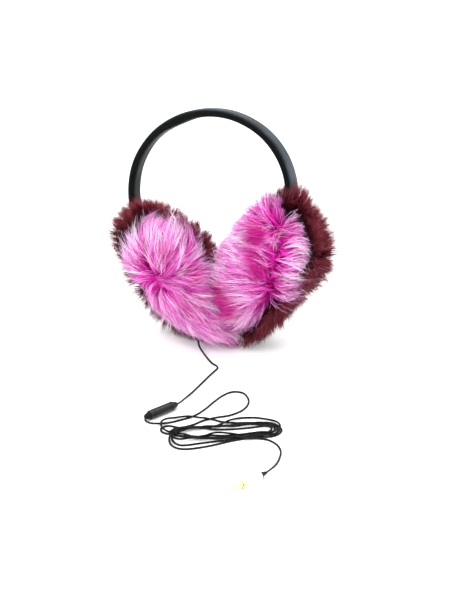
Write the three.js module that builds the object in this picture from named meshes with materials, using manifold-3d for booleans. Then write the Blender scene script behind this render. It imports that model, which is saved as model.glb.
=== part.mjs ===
// Fur earmuff headphones: a padded leatherette headband, two muffs of long fur, and a thin cord
// with an inline remote and a plug. Millimetres, +Z up. The headset stands on its muffs on the
// plane z = 0, centred on the origin, and faces -Y. The cord lies on the same plane in front of it.

import * as THREE from 'three';
import { mergeVertices } from 'three/addons/utils/BufferGeometryUtils.js';
import Module from 'manifold-3d';

const wasm = await Module();
wasm.setup();

// ---- driving dimensions ---------------------------------------------------------------------

const GAP = 0.3; // clearance between neighbouring solids

// The headband's centre line is a flattened arch over two limbs that bend gently inwards.
const BAND = {
  radius: 73.4, // half the arch's span
  rise: 67.2, // height of the arch above its widest level
  limbRadius: 130, // of the limbs' inward bend
  limbTurn: 0.36, // how far each limb bends, in radians
  width: 15.6, // front to back
  thick: 6.2,
  corner: 2.6,
  steps: 56,
};
const HOOP = {
  centre: [-20.0, 10.5, 131.9], // midway between the limbs at the arch's widest level
  lean: 0.22, // backwards, in radians
  roll: 0.17, // the right side higher, in radians
  yaw: -0.05, // the right side nearer the front, in radians
};

// Each muff is two fur domes back to back: short fur behind, long fur on the face. A dome's oval
// outline is tapered, swollen by cosine lobes, and pushed out or in by bell-shaped bumps.
const MUFFS = {
  left: {
    centre: [-40.7, -9.2, 53],
    faces: [0, -1, 0],
    top: [-0.66, 0.1, 0.75],
    back: {
      long: 78, cross: 43.4, depth: 34, shift: [3, -0.6], taper: 0.08,
      lobes: [{ count: 3, height: 0.05, turn: 1.18 }, { count: 5, height: 0.02, turn: 2.0 }],
      bumps: [{ at: -1.11, height: 0.2, width: 0.28 }, { at: -0.54, height: -0.11, width: 0.41 }],
    },
    face: {
      long: 64.5, cross: 33, depth: 39, shift: [-3, -3.6], taper: 0.5,
      lobes: [{ count: 3, height: 0.05, turn: 0 }, { count: 5, height: 0.02, turn: 2.0 }],
      bumps: [],
    },
  },
  right: {
    centre: [33.7, -1.1, 69.5],
    faces: [-0.6, -0.7, 0.3],
    top: [0.62, 0.1, 1],
    back: {
      long: 78, cross: 47, depth: 37, shift: [1.7, 0.8], taper: 0.36,
      lobes: [{ count: 3, height: 0.05, turn: 2.62 }, { count: 5, height: 0.02, turn: 0.5 }],
      bumps: [{ at: -0.59, height: 0.17, width: 0.21 }, { at: 1.11, height: 0.06, width: 0.36 }],
    },
    face: {
      long: 70, cross: 42, depth: 42, shift: [-3, 4], taper: 0.48,
      lobes: [{ count: 3, height: 0.05, turn: 3.5 }, { count: 5, height: 0.02, turn: 0.5 }],
      bumps: [{ at: 0.93, height: -0.18, width: 0.34 }, { at: -0.85, height: 0.13, width: 0.46 }],
    },
  },
};
const OVAL_POWER = 2.4; // 2 is an ellipse, more is fuller
const DOME_POWER = 0.9; // 1 is a circular dome, less is fuller
const RIM_STEPS = 48;
const DOME_STEPS = 9;

// The sleeve is a short tapered tube that leads down out of the left muff, low at its front.
const SLEEVE = {
  base: [-24.8, -11.9, 15], aim: [0.33, -0.75, -0.58], length: 16, wide: 3.5, narrow: 2.5,
};

// The inline remote lies on the plane, a relief on each end of its body.
const REMOTE = {
  start: [4.5, -133.9], aim: [-16, -29.5], body: 24, wide: 7.6, relief: 4.4, neck: 2.4,
};

// The plug lies on the plane: relief, barrel, collar and a 3.5 mm pin.
const PLUG = {
  start: [104.7, -209.4], aim: [-17, -33], relief: 6, barrel: 16, collar: 1.8, pin: 14, wide: 6.8,
  neck: 2.3, pinWide: 3.5,
};

// The cord. Away from the hank it follows these places; each route starts where the last ended.
const CORD = { diameter: 1.65, step: 4.5, halfSides: 4 };
const LEAD = [
  [-19.4, -24.2, 5.6], [-17.5, -28.5, 2.9], [-14.7, -32.8, 1.35], [-10.7, -37.6, 0.9],
  [-6.3, -42.4, 0.9], [-1.5, -47.2, 0.9], [3.1, -51.2, 0.9], [7, -53.4, 0.9], [9.9, -54.5, 0.9],
  [11.2, -57.6, 0.9], [10.4, -63.4, 0.9], [9.3, -74.2, 0.9], [8.2, -88.1, 0.9], [7, -101.7, 0.9],
  [6.2, -111.4, 1], [5.9, -122.4, 2.2], [5.6, -128.9, 3.4], [4.8, -133.35, 3.8],
];
const RUN = [
  [-11.7, -163.75, 3.8], [-12.9, -167, 3], [-11.1, -169.8, 1.8], [-6.3, -169.2, 1],
  [1.7, -165, 0.9], [11.7, -156.4, 0.9],
];
const LOOP = [
  [22.2, -142.9, 0.9], [26.2, -131.4, 0.9], [29.2, -114.4, 0.9], [32.2, -102.4, 0.9],
  [37.2, -94.4, 0.9], [45.2, -92.9, 0.9], [52.2, -99.4, 0.9], [56.2, -109.4, 0.9],
  [55.2, -121.4, 0.9], [48.7, -131.9, 0.9], [40.7, -138.9, 0.9], [32.7, -146.4, 0.9],
];
const TAIL = [
  [70.7, -160.9, 4.2], [79.7, -159.4, 3.4], [90.2, -159.4, 1.8], [98.7, -164.4, 1],
  [104.2, -172.9, 0.9], [106.5, -184.4, 1], [106.7, -196.4, 1.6], [105, -208.85, 3.4],
];

// The hank holds the loosely wound turns. Its outline is two round ends of unlike size.
const HANK = {
  ends: [{ at: [29.2, -166.4], radius: 25 }, { at: [74.7, -146.9], radius: 16.5 }],
  height: 6.2,
};

// ---- solids ---------------------------------------------------------------------------------

function toSolid(geometry) {
  const bare = geometry.clone();
  for (const name of Object.keys(bare.attributes)) {
    if (name !== 'position') bare.deleteAttribute(name);
  }
  const merged = mergeVertices(bare, 1e-4);
  return new wasm.Manifold(new wasm.Mesh({
    numProp: 3,
    vertProperties: new Float32Array(merged.attributes.position.array),
    triVerts: new Uint32Array(merged.index.array),
  }));
}

function toGeometry(solid) {
  const mesh = solid.getMesh();
  const geometry = new THREE.BufferGeometry();
  geometry.setAttribute('position', new THREE.BufferAttribute(mesh.vertProperties, 3));
  geometry.setIndex(new THREE.BufferAttribute(mesh.triVerts, 1));
  return geometry;
}

// A turned solid, its axis running from a place in a direction.
function turnedAlong(profile, start, aim, segments = 24) {
  const points = [[0, 0], ...profile, [0, profile.at(-1)[1]]];
  const geometry = new THREE.LatheGeometry(points.map(([r, y]) => new THREE.Vector2(r, y)), segments);
  const axis = new THREE.Vector3(...aim).normalize();
  const turn = new THREE.Quaternion().setFromUnitVectors(new THREE.Vector3(0, 1, 0), axis);
  return geometry.applyQuaternion(turn).translate(...start);
}

function tubeAlong(route, diameter) {
  const path = new THREE.CatmullRomCurve3(route.map((place) => new THREE.Vector3(...place)));
  const section = new THREE.Shape().absarc(0, 0, 0.5 * diameter, 0, 2 * Math.PI);
  const steps = Math.round(path.getLength() / CORD.step);
  return new THREE.ExtrudeGeometry(section, {
    steps, curveSegments: CORD.halfSides, bevelEnabled: false, extrudePath: path,
  });
}

function piece(name, geometry, look) {
  const mesh = new THREE.Mesh(geometry, new THREE.MeshStandardMaterial(look));
  mesh.name = name;
  return mesh;
}

function addRow(group, names, geometries, looks) {
  names.forEach((name, i) => group.add(piece(name, geometries[i], looks[i])));
}

// ---- headband -------------------------------------------------------------------------------

class HoopPath extends THREE.Curve {
  constructor({ radius, rise, limbRadius, limbTurn }) {
    super();
    Object.assign(this, { radius, rise, limbRadius });
    this.quarter = 0.5 * Math.PI * radius;
    this.half = this.quarter + limbRadius * limbTurn;
  }

  getPoint(t, target = new THREE.Vector3()) {
    const along = (2 * t - 1) * this.half;
    const side = Math.sign(along);
    const run = Math.abs(along);
    if (run <= this.quarter) {
      const turn = run / this.radius;
      return target.set(side * this.radius * Math.sin(turn), 0, this.rise * Math.cos(turn));
    }
    const bend = (run - this.quarter) / this.limbRadius;
    const x = this.radius - this.limbRadius * (1 - Math.cos(bend));
    return target.set(side * x, 0, -this.limbRadius * Math.sin(bend));
  }
}

function roundedRectangle(width, height, corner) {
  const x = 0.5 * width - corner;
  const y = 0.5 * height - corner;
  const shape = new THREE.Shape();
  shape.absarc(x, y, corner, 0, 0.5 * Math.PI);
  shape.absarc(-x, y, corner, 0.5 * Math.PI, Math.PI);
  shape.absarc(-x, -y, corner, Math.PI, 1.5 * Math.PI);
  shape.absarc(x, -y, corner, 1.5 * Math.PI, 2 * Math.PI);
  return shape;
}

function headbandGeometry(grow = 0) {
  const path = new HoopPath({ ...BAND, limbTurn: BAND.limbTurn + grow / BAND.limbRadius });
  const section = roundedRectangle(BAND.width + 2 * grow, BAND.thick + 2 * grow, BAND.corner + grow);
  const geometry = new THREE.ExtrudeGeometry(section, {
    steps: BAND.steps, curveSegments: 1, bevelEnabled: false, extrudePath: path,
  });
  const place = new THREE.Matrix4().makeTranslation(...HOOP.centre);
  place.multiply(new THREE.Matrix4().makeRotationZ(HOOP.yaw));
  place.multiply(new THREE.Matrix4().makeRotationX(-HOOP.lean));
  place.multiply(new THREE.Matrix4().makeRotationY(-HOOP.roll));
  return geometry.applyMatrix4(place);
}

// ---- muffs ----------------------------------------------------------------------------------

// The oval's reach at an angle, with the low lobes and bumps that the fur's tufts make.
function ovalReach(angle, long, cross, { lobes, bumps }) {
  const share = (Math.abs(Math.cos(angle)) / long) ** OVAL_POWER
    + (Math.abs(Math.sin(angle)) / cross) ** OVAL_POWER;
  const swell = lobes.reduce((sum, lobe) => (
    sum + lobe.height * Math.cos(lobe.count * angle + lobe.turn)), 1);
  const bell = bumps.reduce((sum, bump) => {
    const off = Math.atan2(Math.sin(angle - bump.at), Math.cos(angle - bump.at));
    return sum + bump.height * Math.exp(-((off / bump.width) ** 2));
  }, 0);
  return (swell + bell) * share ** (-1 / OVAL_POWER);
}

// A dome over the oval, flat side at height 0 and pole at +Z, grown outwards on every side.
function furDome(dome, grow = 0) {
  const { long, cross, depth, shift, taper } = dome;
  const profile = [new THREE.Vector2(0, -grow)];
  for (let step = 0; step <= DOME_STEPS; step += 1) {
    const turn = (0.5 * Math.PI * step) / DOME_STEPS;
    const reach = step === DOME_STEPS ? 0 : Math.cos(turn) ** DOME_POWER;
    profile.push(new THREE.Vector2(reach, Math.sin(turn) ** DOME_POWER * (depth + grow)));
  }
  if (grow > 0) profile.splice(1, 0, new THREE.Vector2(1, -grow));
  const geometry = new THREE.LatheGeometry(profile, RIM_STEPS);
  const position = geometry.attributes.position;
  for (let i = 0; i < position.count; i += 1) {
    const [x, height, z] = [position.getX(i), position.getY(i), position.getZ(i)];
    const angle = Math.atan2(x, z);
    const reach = Math.hypot(x, z) * ovalReach(angle, long + grow, cross + grow, dome);
    const along = reach * Math.cos(angle);
    const across = reach * Math.sin(angle) * (1 + (taper * along) / long);
    position.setXYZ(i, along + shift[0], across + shift[1], height);
  }
  return geometry;
}

// The muff's own frame: Z out of its face, X towards its top.
function muffFrame({ centre, faces, top }) {
  const z = new THREE.Vector3(...faces).normalize();
  const y = new THREE.Vector3().crossVectors(z, new THREE.Vector3(...top)).normalize();
  const x = new THREE.Vector3().crossVectors(y, z);
  return new THREE.Matrix4().makeBasis(x, y, z).setPosition(...centre);
}

// The dome as it has to be made so that it looks right once it is turned over.
function mirrored(dome) {
  return {
    ...dome,
    shift: [dome.shift[0], -dome.shift[1]],
    lobes: dome.lobes.map((lobe) => ({ ...lobe, turn: -lobe.turn })),
    bumps: dome.bumps.map((bump) => ({ ...bump, at: -bump.at })),
  };
}

function muffSolids(muff, grow = 0) {
  const frame = muffFrame(muff);
  const seam = new THREE.Matrix4().makeTranslation(0, 0, 0.5 * GAP);
  const turned = new THREE.Matrix4().makeRotationX(Math.PI);
  const face = furDome(muff.face, grow);
  face.applyMatrix4(seam).applyMatrix4(frame);
  const back = furDome(mirrored(muff.back), grow);
  back.applyMatrix4(seam).applyMatrix4(turned).applyMatrix4(frame);
  return { face: toSolid(face), back: toSolid(back) };
}

// ---- what lies on the plane -----------------------------------------------------------------

function sleeveGeometry(grow = 0) {
  const { base, aim, length, wide, narrow } = SLEEVE;
  const axis = new THREE.Vector3(...aim).normalize();
  const start = new THREE.Vector3(...base).addScaledVector(axis, -grow);
  return turnedAlong([
    [0.5 * wide + grow, 0], [0.5 * wide + grow, 0.4 * length + grow],
    [0.5 * narrow + grow, length + 2 * grow],
  ], start.toArray(), axis.toArray(), 16);
}

// Pieces in a row along one axis, each a profile of its own, with a gap between them.
function turnedRow({ start, aim, wide }, profiles) {
  const axis = new THREE.Vector3(...aim, 0).normalize();
  const place = new THREE.Vector3(...start, 0.5 * wide);
  return profiles.map((profile) => {
    const geometry = turnedAlong(profile, place.toArray(), axis.toArray());
    place.addScaledVector(axis, profile.at(-1)[1] + GAP);
    return geometry;
  });
}

function remoteGeometries() {
  const { body, wide, relief, neck } = REMOTE;
  const edge = 0.6;
  return turnedRow(REMOTE, [
    [[0.5 * neck, 0], [0.36 * wide, relief - 1.2], [0.42 * wide, relief]],
    [[0.5 * wide - edge, 0], [0.5 * wide, edge], [0.5 * wide, body - edge],
      [0.5 * wide - edge, body]],
    [[0.5 * wide - edge, 0], [0.42 * wide, 1.2], [0.5 * neck, relief]],
  ]);
}

function plugGeometries() {
  const { relief, barrel, collar, pin, wide, neck, pinWide } = PLUG;
  const edge = 0.5;
  const ringDepth = 0.15;
  const rings = [3.2, 6.4, 9.6].flatMap((at) => [
    [0.5 * pinWide, at], [0.5 * pinWide - ringDepth, at + 0.1],
    [0.5 * pinWide - ringDepth, at + 0.7], [0.5 * pinWide, at + 0.8],
  ]);
  return turnedRow(PLUG, [
    [[0.5 * neck, 0], [0.4 * wide, relief]],
    [[0.5 * wide - edge, 0], [0.5 * wide, edge], [0.5 * wide, barrel - edge],
      [0.5 * wide - edge, barrel]],
    [[0.5 * wide, 0], [0.5 * wide, collar - edge], [0.5 * wide - edge, collar]],
    [[0.5 * pinWide, 0], ...rings, [0.5 * pinWide, pin - 2.6], [0.3 * pinWide, pin - 2.2],
      [0.4 * pinWide, pin - 1.4], [0.12 * pinWide, pin]],
  ]);
}

// The hank's outline: an arc round each end, joined by the two lines that touch both.
function hankGeometry(grow = 0) {
  const [large, small] = HANK.ends;
  const dx = small.at[0] - large.at[0];
  const dy = small.at[1] - large.at[1];
  const axis = Math.atan2(dy, dx);
  const turn = Math.acos((large.radius - small.radius) / Math.hypot(dx, dy));
  const shape = new THREE.Shape();
  shape.absarc(...large.at, large.radius + grow, axis + turn, axis - turn + 2 * Math.PI);
  shape.absarc(...small.at, small.radius + grow, axis - turn, axis + turn);
  return new THREE.ExtrudeGeometry(shape, {
    depth: HANK.height + grow, curveSegments: 10, bevelEnabled: false,
  });
}

// ---- the whole ------------------------------------------------------------------------------

const above = toSolid(new THREE.BoxGeometry(600, 600, 400).translate(0, 0, 200));
const bandPocket = toSolid(headbandGeometry(GAP));
const sleevePocket = toSolid(sleeveGeometry(GAP));
const hankReach = toSolid(hankGeometry(GAP));
const left = muffSolids(MUFFS.left);
const right = muffSolids(MUFFS.right);
const leftGrown = muffSolids(MUFFS.left, GAP);

const FUR_PINK = { color: 0xe46fc0, roughness: 0.95, metalness: 0 };
const FUR_MAROON = { color: 0x5a1c28, roughness: 1, metalness: 0 };
const LEATHERETTE = { color: 0x1b2124, roughness: 0.45, metalness: 0 };
const RUBBER = { color: 0x1a1c1e, roughness: 0.5, metalness: 0 };
const REMOTE_PLASTIC = { color: 0x2a2f31, roughness: 0.4, metalness: 0 };
const PALE_PLASTIC = { color: 0xe9ecec, roughness: 0.25, metalness: 0 };
const GOLD = { color: 0xd9c25a, roughness: 0.3, metalness: 0.9 };

const headset = new THREE.Group();
headset.add(piece('headband', headbandGeometry(), LEATHERETTE));
for (const [part, look] of [['back', FUR_MAROON], ['face', FUR_PINK]]) {
  const leftPart = left[part].intersect(above).subtract(bandPocket).subtract(sleevePocket);
  headset.add(piece(`left_${part}_fur`, toGeometry(leftPart), look));
  const rightPart = right[part].intersect(above).subtract(bandPocket)
    .subtract(leftGrown.face).subtract(leftGrown.back);
  headset.add(piece(`right_${part}_fur`, toGeometry(rightPart), look));
}
headset.add(piece('cord_sleeve', sleeveGeometry(), RUBBER));

const cord = new THREE.Group();
cord.add(piece('cord_lead', tubeAlong(LEAD, CORD.diameter), RUBBER));
for (const [name, route] of [['cord_run', RUN], ['cord_loop', LOOP], ['cord_tail', TAIL]]) {
  const clear = toSolid(tubeAlong(route, CORD.diameter)).subtract(hankReach);
  cord.add(piece(name, toGeometry(clear), RUBBER));
}
cord.add(piece('cord_hank', hankGeometry(), RUBBER));
addRow(cord, ['remote_relief_in', 'remote_body', 'remote_relief_out'], remoteGeometries(),
  [RUBBER, REMOTE_PLASTIC, RUBBER]);
addRow(cord, ['plug_relief', 'plug_barrel', 'plug_collar', 'plug_pin'], plugGeometries(),
  [RUBBER, PALE_PLASTIC, GOLD, GOLD]);

const whole = new THREE.Group();
whole.add(headset, cord);

export default whole;
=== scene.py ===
"""Fur earmuff headphones with a padded headband and a thin cord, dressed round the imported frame."""
import logging
import math
from dataclasses import dataclass, replace
from enum import Enum

import bmesh
import bpy
import numpy as np
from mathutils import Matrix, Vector


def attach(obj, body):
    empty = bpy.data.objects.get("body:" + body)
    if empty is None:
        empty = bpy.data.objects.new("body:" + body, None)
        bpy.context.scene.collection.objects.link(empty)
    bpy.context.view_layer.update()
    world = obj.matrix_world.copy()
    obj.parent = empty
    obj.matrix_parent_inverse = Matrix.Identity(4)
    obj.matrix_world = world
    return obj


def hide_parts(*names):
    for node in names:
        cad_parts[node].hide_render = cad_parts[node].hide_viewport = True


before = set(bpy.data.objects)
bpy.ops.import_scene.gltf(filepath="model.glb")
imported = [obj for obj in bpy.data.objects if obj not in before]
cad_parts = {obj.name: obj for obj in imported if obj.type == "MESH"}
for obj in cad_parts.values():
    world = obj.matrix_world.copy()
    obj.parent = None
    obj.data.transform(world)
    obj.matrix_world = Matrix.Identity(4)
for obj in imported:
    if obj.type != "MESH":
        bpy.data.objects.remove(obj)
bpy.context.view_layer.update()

LOG = logging.getLogger("earmuffs")
MM = 0.001
BODY = "root"
FUR_ATTRIBUTE = "fur"
SHARP_LIMIT = 60000
Points = np.ndarray
Place = tuple[float, float, float]
Rows = list[tuple[float, float]]
Thing = bpy.types.Object
Material = bpy.types.Material
Socket = bpy.types.NodeSocket


def linear(hex_colour: int) -> tuple[float, float, float, float]:
    """Turns a display colour into scene-linear values by the usual power curve.

    Args:
        hex_colour: The colour as 0xRRGGBB.

    Returns:
        Red, green, blue and an alpha of one.
    """
    parts = np.array([(hex_colour >> shift) & 255 for shift in (16, 8, 0)]) / 255
    bent = np.where(parts <= 0.04045, parts / 12.92, ((parts + 0.055) / 1.055) ** 2.4)
    return (*bent.tolist(), 1.0)


def unit(vectors: Points) -> Points:
    """Scales each vector to a length of one."""
    return vectors / np.maximum(np.linalg.norm(vectors, axis=-1, keepdims=True), 1e-12)


def smoothstep(low: float, high: float, value: Points) -> Points:
    """Rises from 0 at low to 1 at high along 3t squared minus 2t cubed."""
    part = np.clip((value - low) / (high - low), 0, 1)
    return part * part * (3 - 2 * part)


def bell(reach: int, width: float) -> Points:
    """Weights of a bell curve from -reach to reach that add up to one."""
    weights = np.exp(-0.5 * (np.arange(-reach, reach + 1) / width) ** 2)
    return weights / weights.sum()


def ripple(points: Points, wavelength: float, seed: int, waves: int = 7) -> Points:
    """A smooth random field: the mean of plane sine waves in random directions.

    Args:
        points: Where to read it, (..., 3).
        wavelength: The middle distance between crests.
        seed: Fixes the directions and phases.
        waves: How many waves are added.

    Returns:
        Values of about -1 to 1.
    """
    rng = np.random.default_rng(seed)
    heading = unit(rng.normal(size=(waves, 3)))
    pace = math.tau / wavelength * rng.uniform(0.6, 1.5, waves)
    phase = rng.uniform(0, math.tau, waves)
    return 1.8 * np.sin(points @ (heading * pace[:, None]).T + phase).mean(axis=-1)


# ---- meshes ----

ROUND_STEPS = 5


def put(name: str, data: bpy.types.ID) -> Thing:
    """Adds an object to the scene.

    Args:
        name: What it is called.
        data: Its mesh, curve, lamp or camera.

    Returns:
        The object.
    """
    thing = bpy.data.objects.new(name, data)
    bpy.context.collection.objects.link(thing)
    return thing


def make_mesh(name: str, points: Points, faces: list[Points], materials: list[Material],
              shades: Points | None = None, uvs: Points | None = None,
              slots: Points | None = None, sharp: float = 40.0) -> Thing:
    """Puts arrays of points (mm) and faces into a mesh object at the origin.

    Args:
        name: The object's name.
        points: Corner places in millimetres, (n, 3).
        faces: Arrays of corner numbers, one array for each number of corners a face has.
        materials: The material slots.
        shades: Colour attribute for each point, (n, 4), if the material reads one.
        uvs: Place on the surface for each point, (n, 2), if the material reads one.
        slots: Material slot of each face.
        sharp: Edges that turn more than this many degrees are left crisp, hair apart.

    Returns:
        The new object.
    """
    mesh = bpy.data.meshes.new(name)
    corners = np.concatenate([part.ravel() for part in faces])
    sizes = np.concatenate([np.full(len(part), part.shape[1]) for part in faces])
    mesh.vertices.add(len(points))
    mesh.vertices.foreach_set("co", (points * MM).astype(np.float32).ravel())
    mesh.loops.add(len(corners))
    mesh.loops.foreach_set("vertex_index", corners.astype(np.int32))
    mesh.polygons.add(len(sizes))
    mesh.polygons.foreach_set("loop_start", np.r_[0, np.cumsum(sizes)[:-1]].astype(np.int32))
    if slots is not None:
        mesh.polygons.foreach_set("material_index", slots.astype(np.int32))
    mesh.update(calc_edges=True)
    mesh.polygons.foreach_set("use_smooth", np.ones(len(sizes), dtype=bool))
    if shades is not None:
        layer = mesh.color_attributes.new(FUR_ATTRIBUTE, "FLOAT_COLOR", "POINT")
        layer.data.foreach_set("color", shades.astype(np.float32).ravel())
    if uvs is not None:
        layer = mesh.uv_layers.new(name="UVMap")
        layer.data.foreach_set("uv", uvs[corners].astype(np.float32).ravel())
    if len(points) < SHARP_LIMIT:
        mesh.set_sharp_from_angle(angle=math.radians(sharp))
    for material in materials:
        mesh.materials.append(material)
    return put(name, mesh)


def turn_outwards(thing: Thing) -> None:
    """Flips a closed mesh whose faces point inwards, told by the sign of its volume.

    Args:
        thing: The mesh object.
    """
    shell = bmesh.new()
    shell.from_mesh(thing.data)
    if shell.calc_volume(signed=True) < 0:
        bmesh.ops.reverse_faces(shell, faces=shell.faces)
        shell.to_mesh(thing.data)
    shell.free()


def grid_faces(rows: int, columns: int) -> Points:
    """Numbers the quads of a grid whose points run along each row in turn.

    Args:
        rows: Rows of points.
        columns: Points in a row, which closes on itself.

    Returns:
        Quads, (n, 4), facing outwards when rows go forward and columns go anticlockwise.
    """
    across = np.arange(columns)
    row = np.arange(rows - 1)[:, None] * columns
    after = (across + 1) % columns
    quads = np.stack([row + across, row + after, row + columns + after, row + columns + across], -1)
    return quads.reshape(-1, 4)


def fan_faces(centre: int, ring: Points, forward: bool) -> Points:
    """Closes a ring with triangles to a centre point.

    Args:
        centre: The centre's number.
        ring: The ring's point numbers.
        forward: Whether corners follow the ring's order.

    Returns:
        Triangles, (n, 3).
    """
    after = np.roll(ring, -1)
    first, second = (ring, after) if forward else (after, ring)
    return np.stack([first, second, np.full(len(ring), centre)], -1)


def turned(name: str, profile: Rows, start: Points, axis: Points,
           materials: list[Material], dark_rows: tuple[int, ...] = (),
           segments: int = 56) -> Thing:
    """Turns a profile of (radius, distance) round an axis and closes both ends at their centres.

    Args:
        name: The object's name.
        profile: Radius and distance along the axis, in millimetres.
        start: Where the axis starts, in millimetres.
        axis: The way that it goes.
        materials: One material, or two when dark_rows takes the second.
        dark_rows: Profile steps that take the second material.
        segments: Points in each ring.

    Returns:
        The new object.
    """
    rows = np.array(profile, dtype=float)
    along = unit(np.asarray(axis, dtype=float))
    side = unit(np.cross((0, 0, 1), along))
    up = np.cross(along, side)
    angle = np.linspace(0, math.tau, segments, endpoint=False)
    ring = np.cos(angle)[:, None] * side + np.sin(angle)[:, None] * up
    points = start + rows[:, 1, None, None] * along + rows[:, 0, None, None] * ring
    points = np.vstack([points.reshape(-1, 3), start + rows[0, 1] * along,
                        start + rows[-1, 1] * along])
    count = len(rows) * segments
    last = np.arange(count - segments, count)
    quads = grid_faces(len(rows), segments)
    fans = np.vstack([fan_faces(count, np.arange(segments), False),
                      fan_faces(count + 1, last, True)])
    slots = np.isin(np.arange(len(rows) - 1), dark_rows).repeat(segments).astype(int)
    slots = np.r_[slots, np.zeros(2 * segments, dtype=int)]
    around = np.tile(angle / math.tau, len(rows))
    uvs = np.stack([around, rows[:, 1].repeat(segments) / 10], -1)
    uvs = np.vstack([uvs, [[0, rows[0, 1] / 10], [0, rows[-1, 1] / 10]]])
    return make_mesh(name, points, [quads, fans], materials, uvs=uvs, slots=slots, sharp=32)


def rounded(radius: float, length: float, edge: float) -> Rows:
    """Profile of a barrel whose two rims are rounded with quarter circles.

    Args:
        radius: Its radius.
        length: Its length.
        edge: The rims' radius.

    Returns:
        Rows of radius and distance, ROUND_STEPS at each rim.
    """
    turn = np.linspace(0, math.pi / 2, ROUND_STEPS)
    first = [(radius - edge + edge * math.sin(t), edge - edge * math.cos(t)) for t in turn]
    return first + [(r, length - a) for r, a in reversed(first)]


# ---- finishes ----

FLOAT = "NodeSocketFloat"
COLOUR = "NodeSocketColor"
VECTOR = "NodeSocketVector"


class Graph:
    """Adds nodes to a shader tree and joins them."""

    def __init__(self, tree: bpy.types.NodeTree) -> None:
        """Keeps the tree that nodes are added to."""
        self.tree = tree

    def add(self, kind: str, inputs: dict | None = None, **settings: object) -> bpy.types.Node:
        """Adds one node.

        Args:
            kind: The node's type name.
            inputs: Values or sockets for its inputs, by name or number.
            **settings: The node's own properties.

        Returns:
            The node.
        """
        node = self.tree.nodes.new(kind)
        for key, value in settings.items():
            setattr(node, key, value)
        for key, value in (inputs or {}).items():
            if isinstance(value, Socket):
                self.join(value, node, key)
            else:
                node.inputs[key].default_value = value
        return node

    def join(self, value: Socket, node: bpy.types.Node, socket: str | int) -> None:
        """Links a value to a node's input."""
        self.tree.links.new(value, node.inputs[socket])

    def math(self, operation: str, first: object, second: object = 0.0) -> Socket:
        """Adds one sum, product or the like and returns its value."""
        return self.add("ShaderNodeMath", {0: first, 1: second}, operation=operation).outputs[0]

    def mix(self, share: object, first: object, second: object, blend: str = "MIX") -> Socket:
        """Mixes two colours and returns the colour."""
        return self.add("ShaderNodeMix", {0: share, 6: first, 7: second}, data_type="RGBA",
                        blend_type=blend).outputs[2]

    def spread(self, value: object, low: float, high: float, to_low: float,
               to_high: float) -> Socket:
        """Maps a value from one range to another, held at both ends."""
        return self.add("ShaderNodeMapRange",
                        {0: value, 1: low, 2: high, 3: to_low, 4: to_high}).outputs[0]

    def place(self, kind: str = "Object") -> Socket:
        """The piece's own coordinates, or its UV map's."""
        return self.add("ShaderNodeTexCoord").outputs[kind]

    def noise(self, place: object, scale: object, **values: float) -> Socket:
        """Adds a noise of a scale, with other inputs by name, and returns its value."""
        return self.add("ShaderNodeTexNoise",
                        {"Vector": place, "Scale": scale, **values}).outputs["Fac"]

    def streaks(self, repeats: tuple[float, float, float], **values: float) -> Socket:
        """Adds a noise that is stretched along the UV map by repeats of each axis."""
        stretch = self.add("ShaderNodeMapping", {"Vector": self.place("UV"), "Scale": repeats})
        return self.noise(stretch.outputs[0], 1.0, **values)


class SharedGroup:
    """A shader node group that several finishes share, with the nodes at its ends."""

    def __init__(self, name: str, inputs: dict[str, tuple[str, object]],
                 outputs: dict[str, str]) -> None:
        """Starts the group with named sockets.

        Args:
            name: The group's name.
            inputs: Socket type and first value by name.
            outputs: Socket type by name.
        """
        self.tree = bpy.data.node_groups.new(name, "ShaderNodeTree")
        for socket, (kind, value) in inputs.items():
            made = self.tree.interface.new_socket(socket, in_out="INPUT", socket_type=kind)
            made.default_value = value
        for socket, kind in outputs.items():
            self.tree.interface.new_socket(socket, in_out="OUTPUT", socket_type=kind)
        self.graph = Graph(self.tree)
        self.given = self.graph.add("NodeGroupInput").outputs
        self.leave = self.graph.add("NodeGroupOutput")

    def give(self, **values: Socket) -> bpy.types.NodeTree:
        """Links the values that the group gives.

        Args:
            **values: The values by the names of the group's outputs.

        Returns:
            The group's tree.
        """
        for socket, value in values.items():
            self.graph.join(value, self.leave, socket)
        return self.tree


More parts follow.
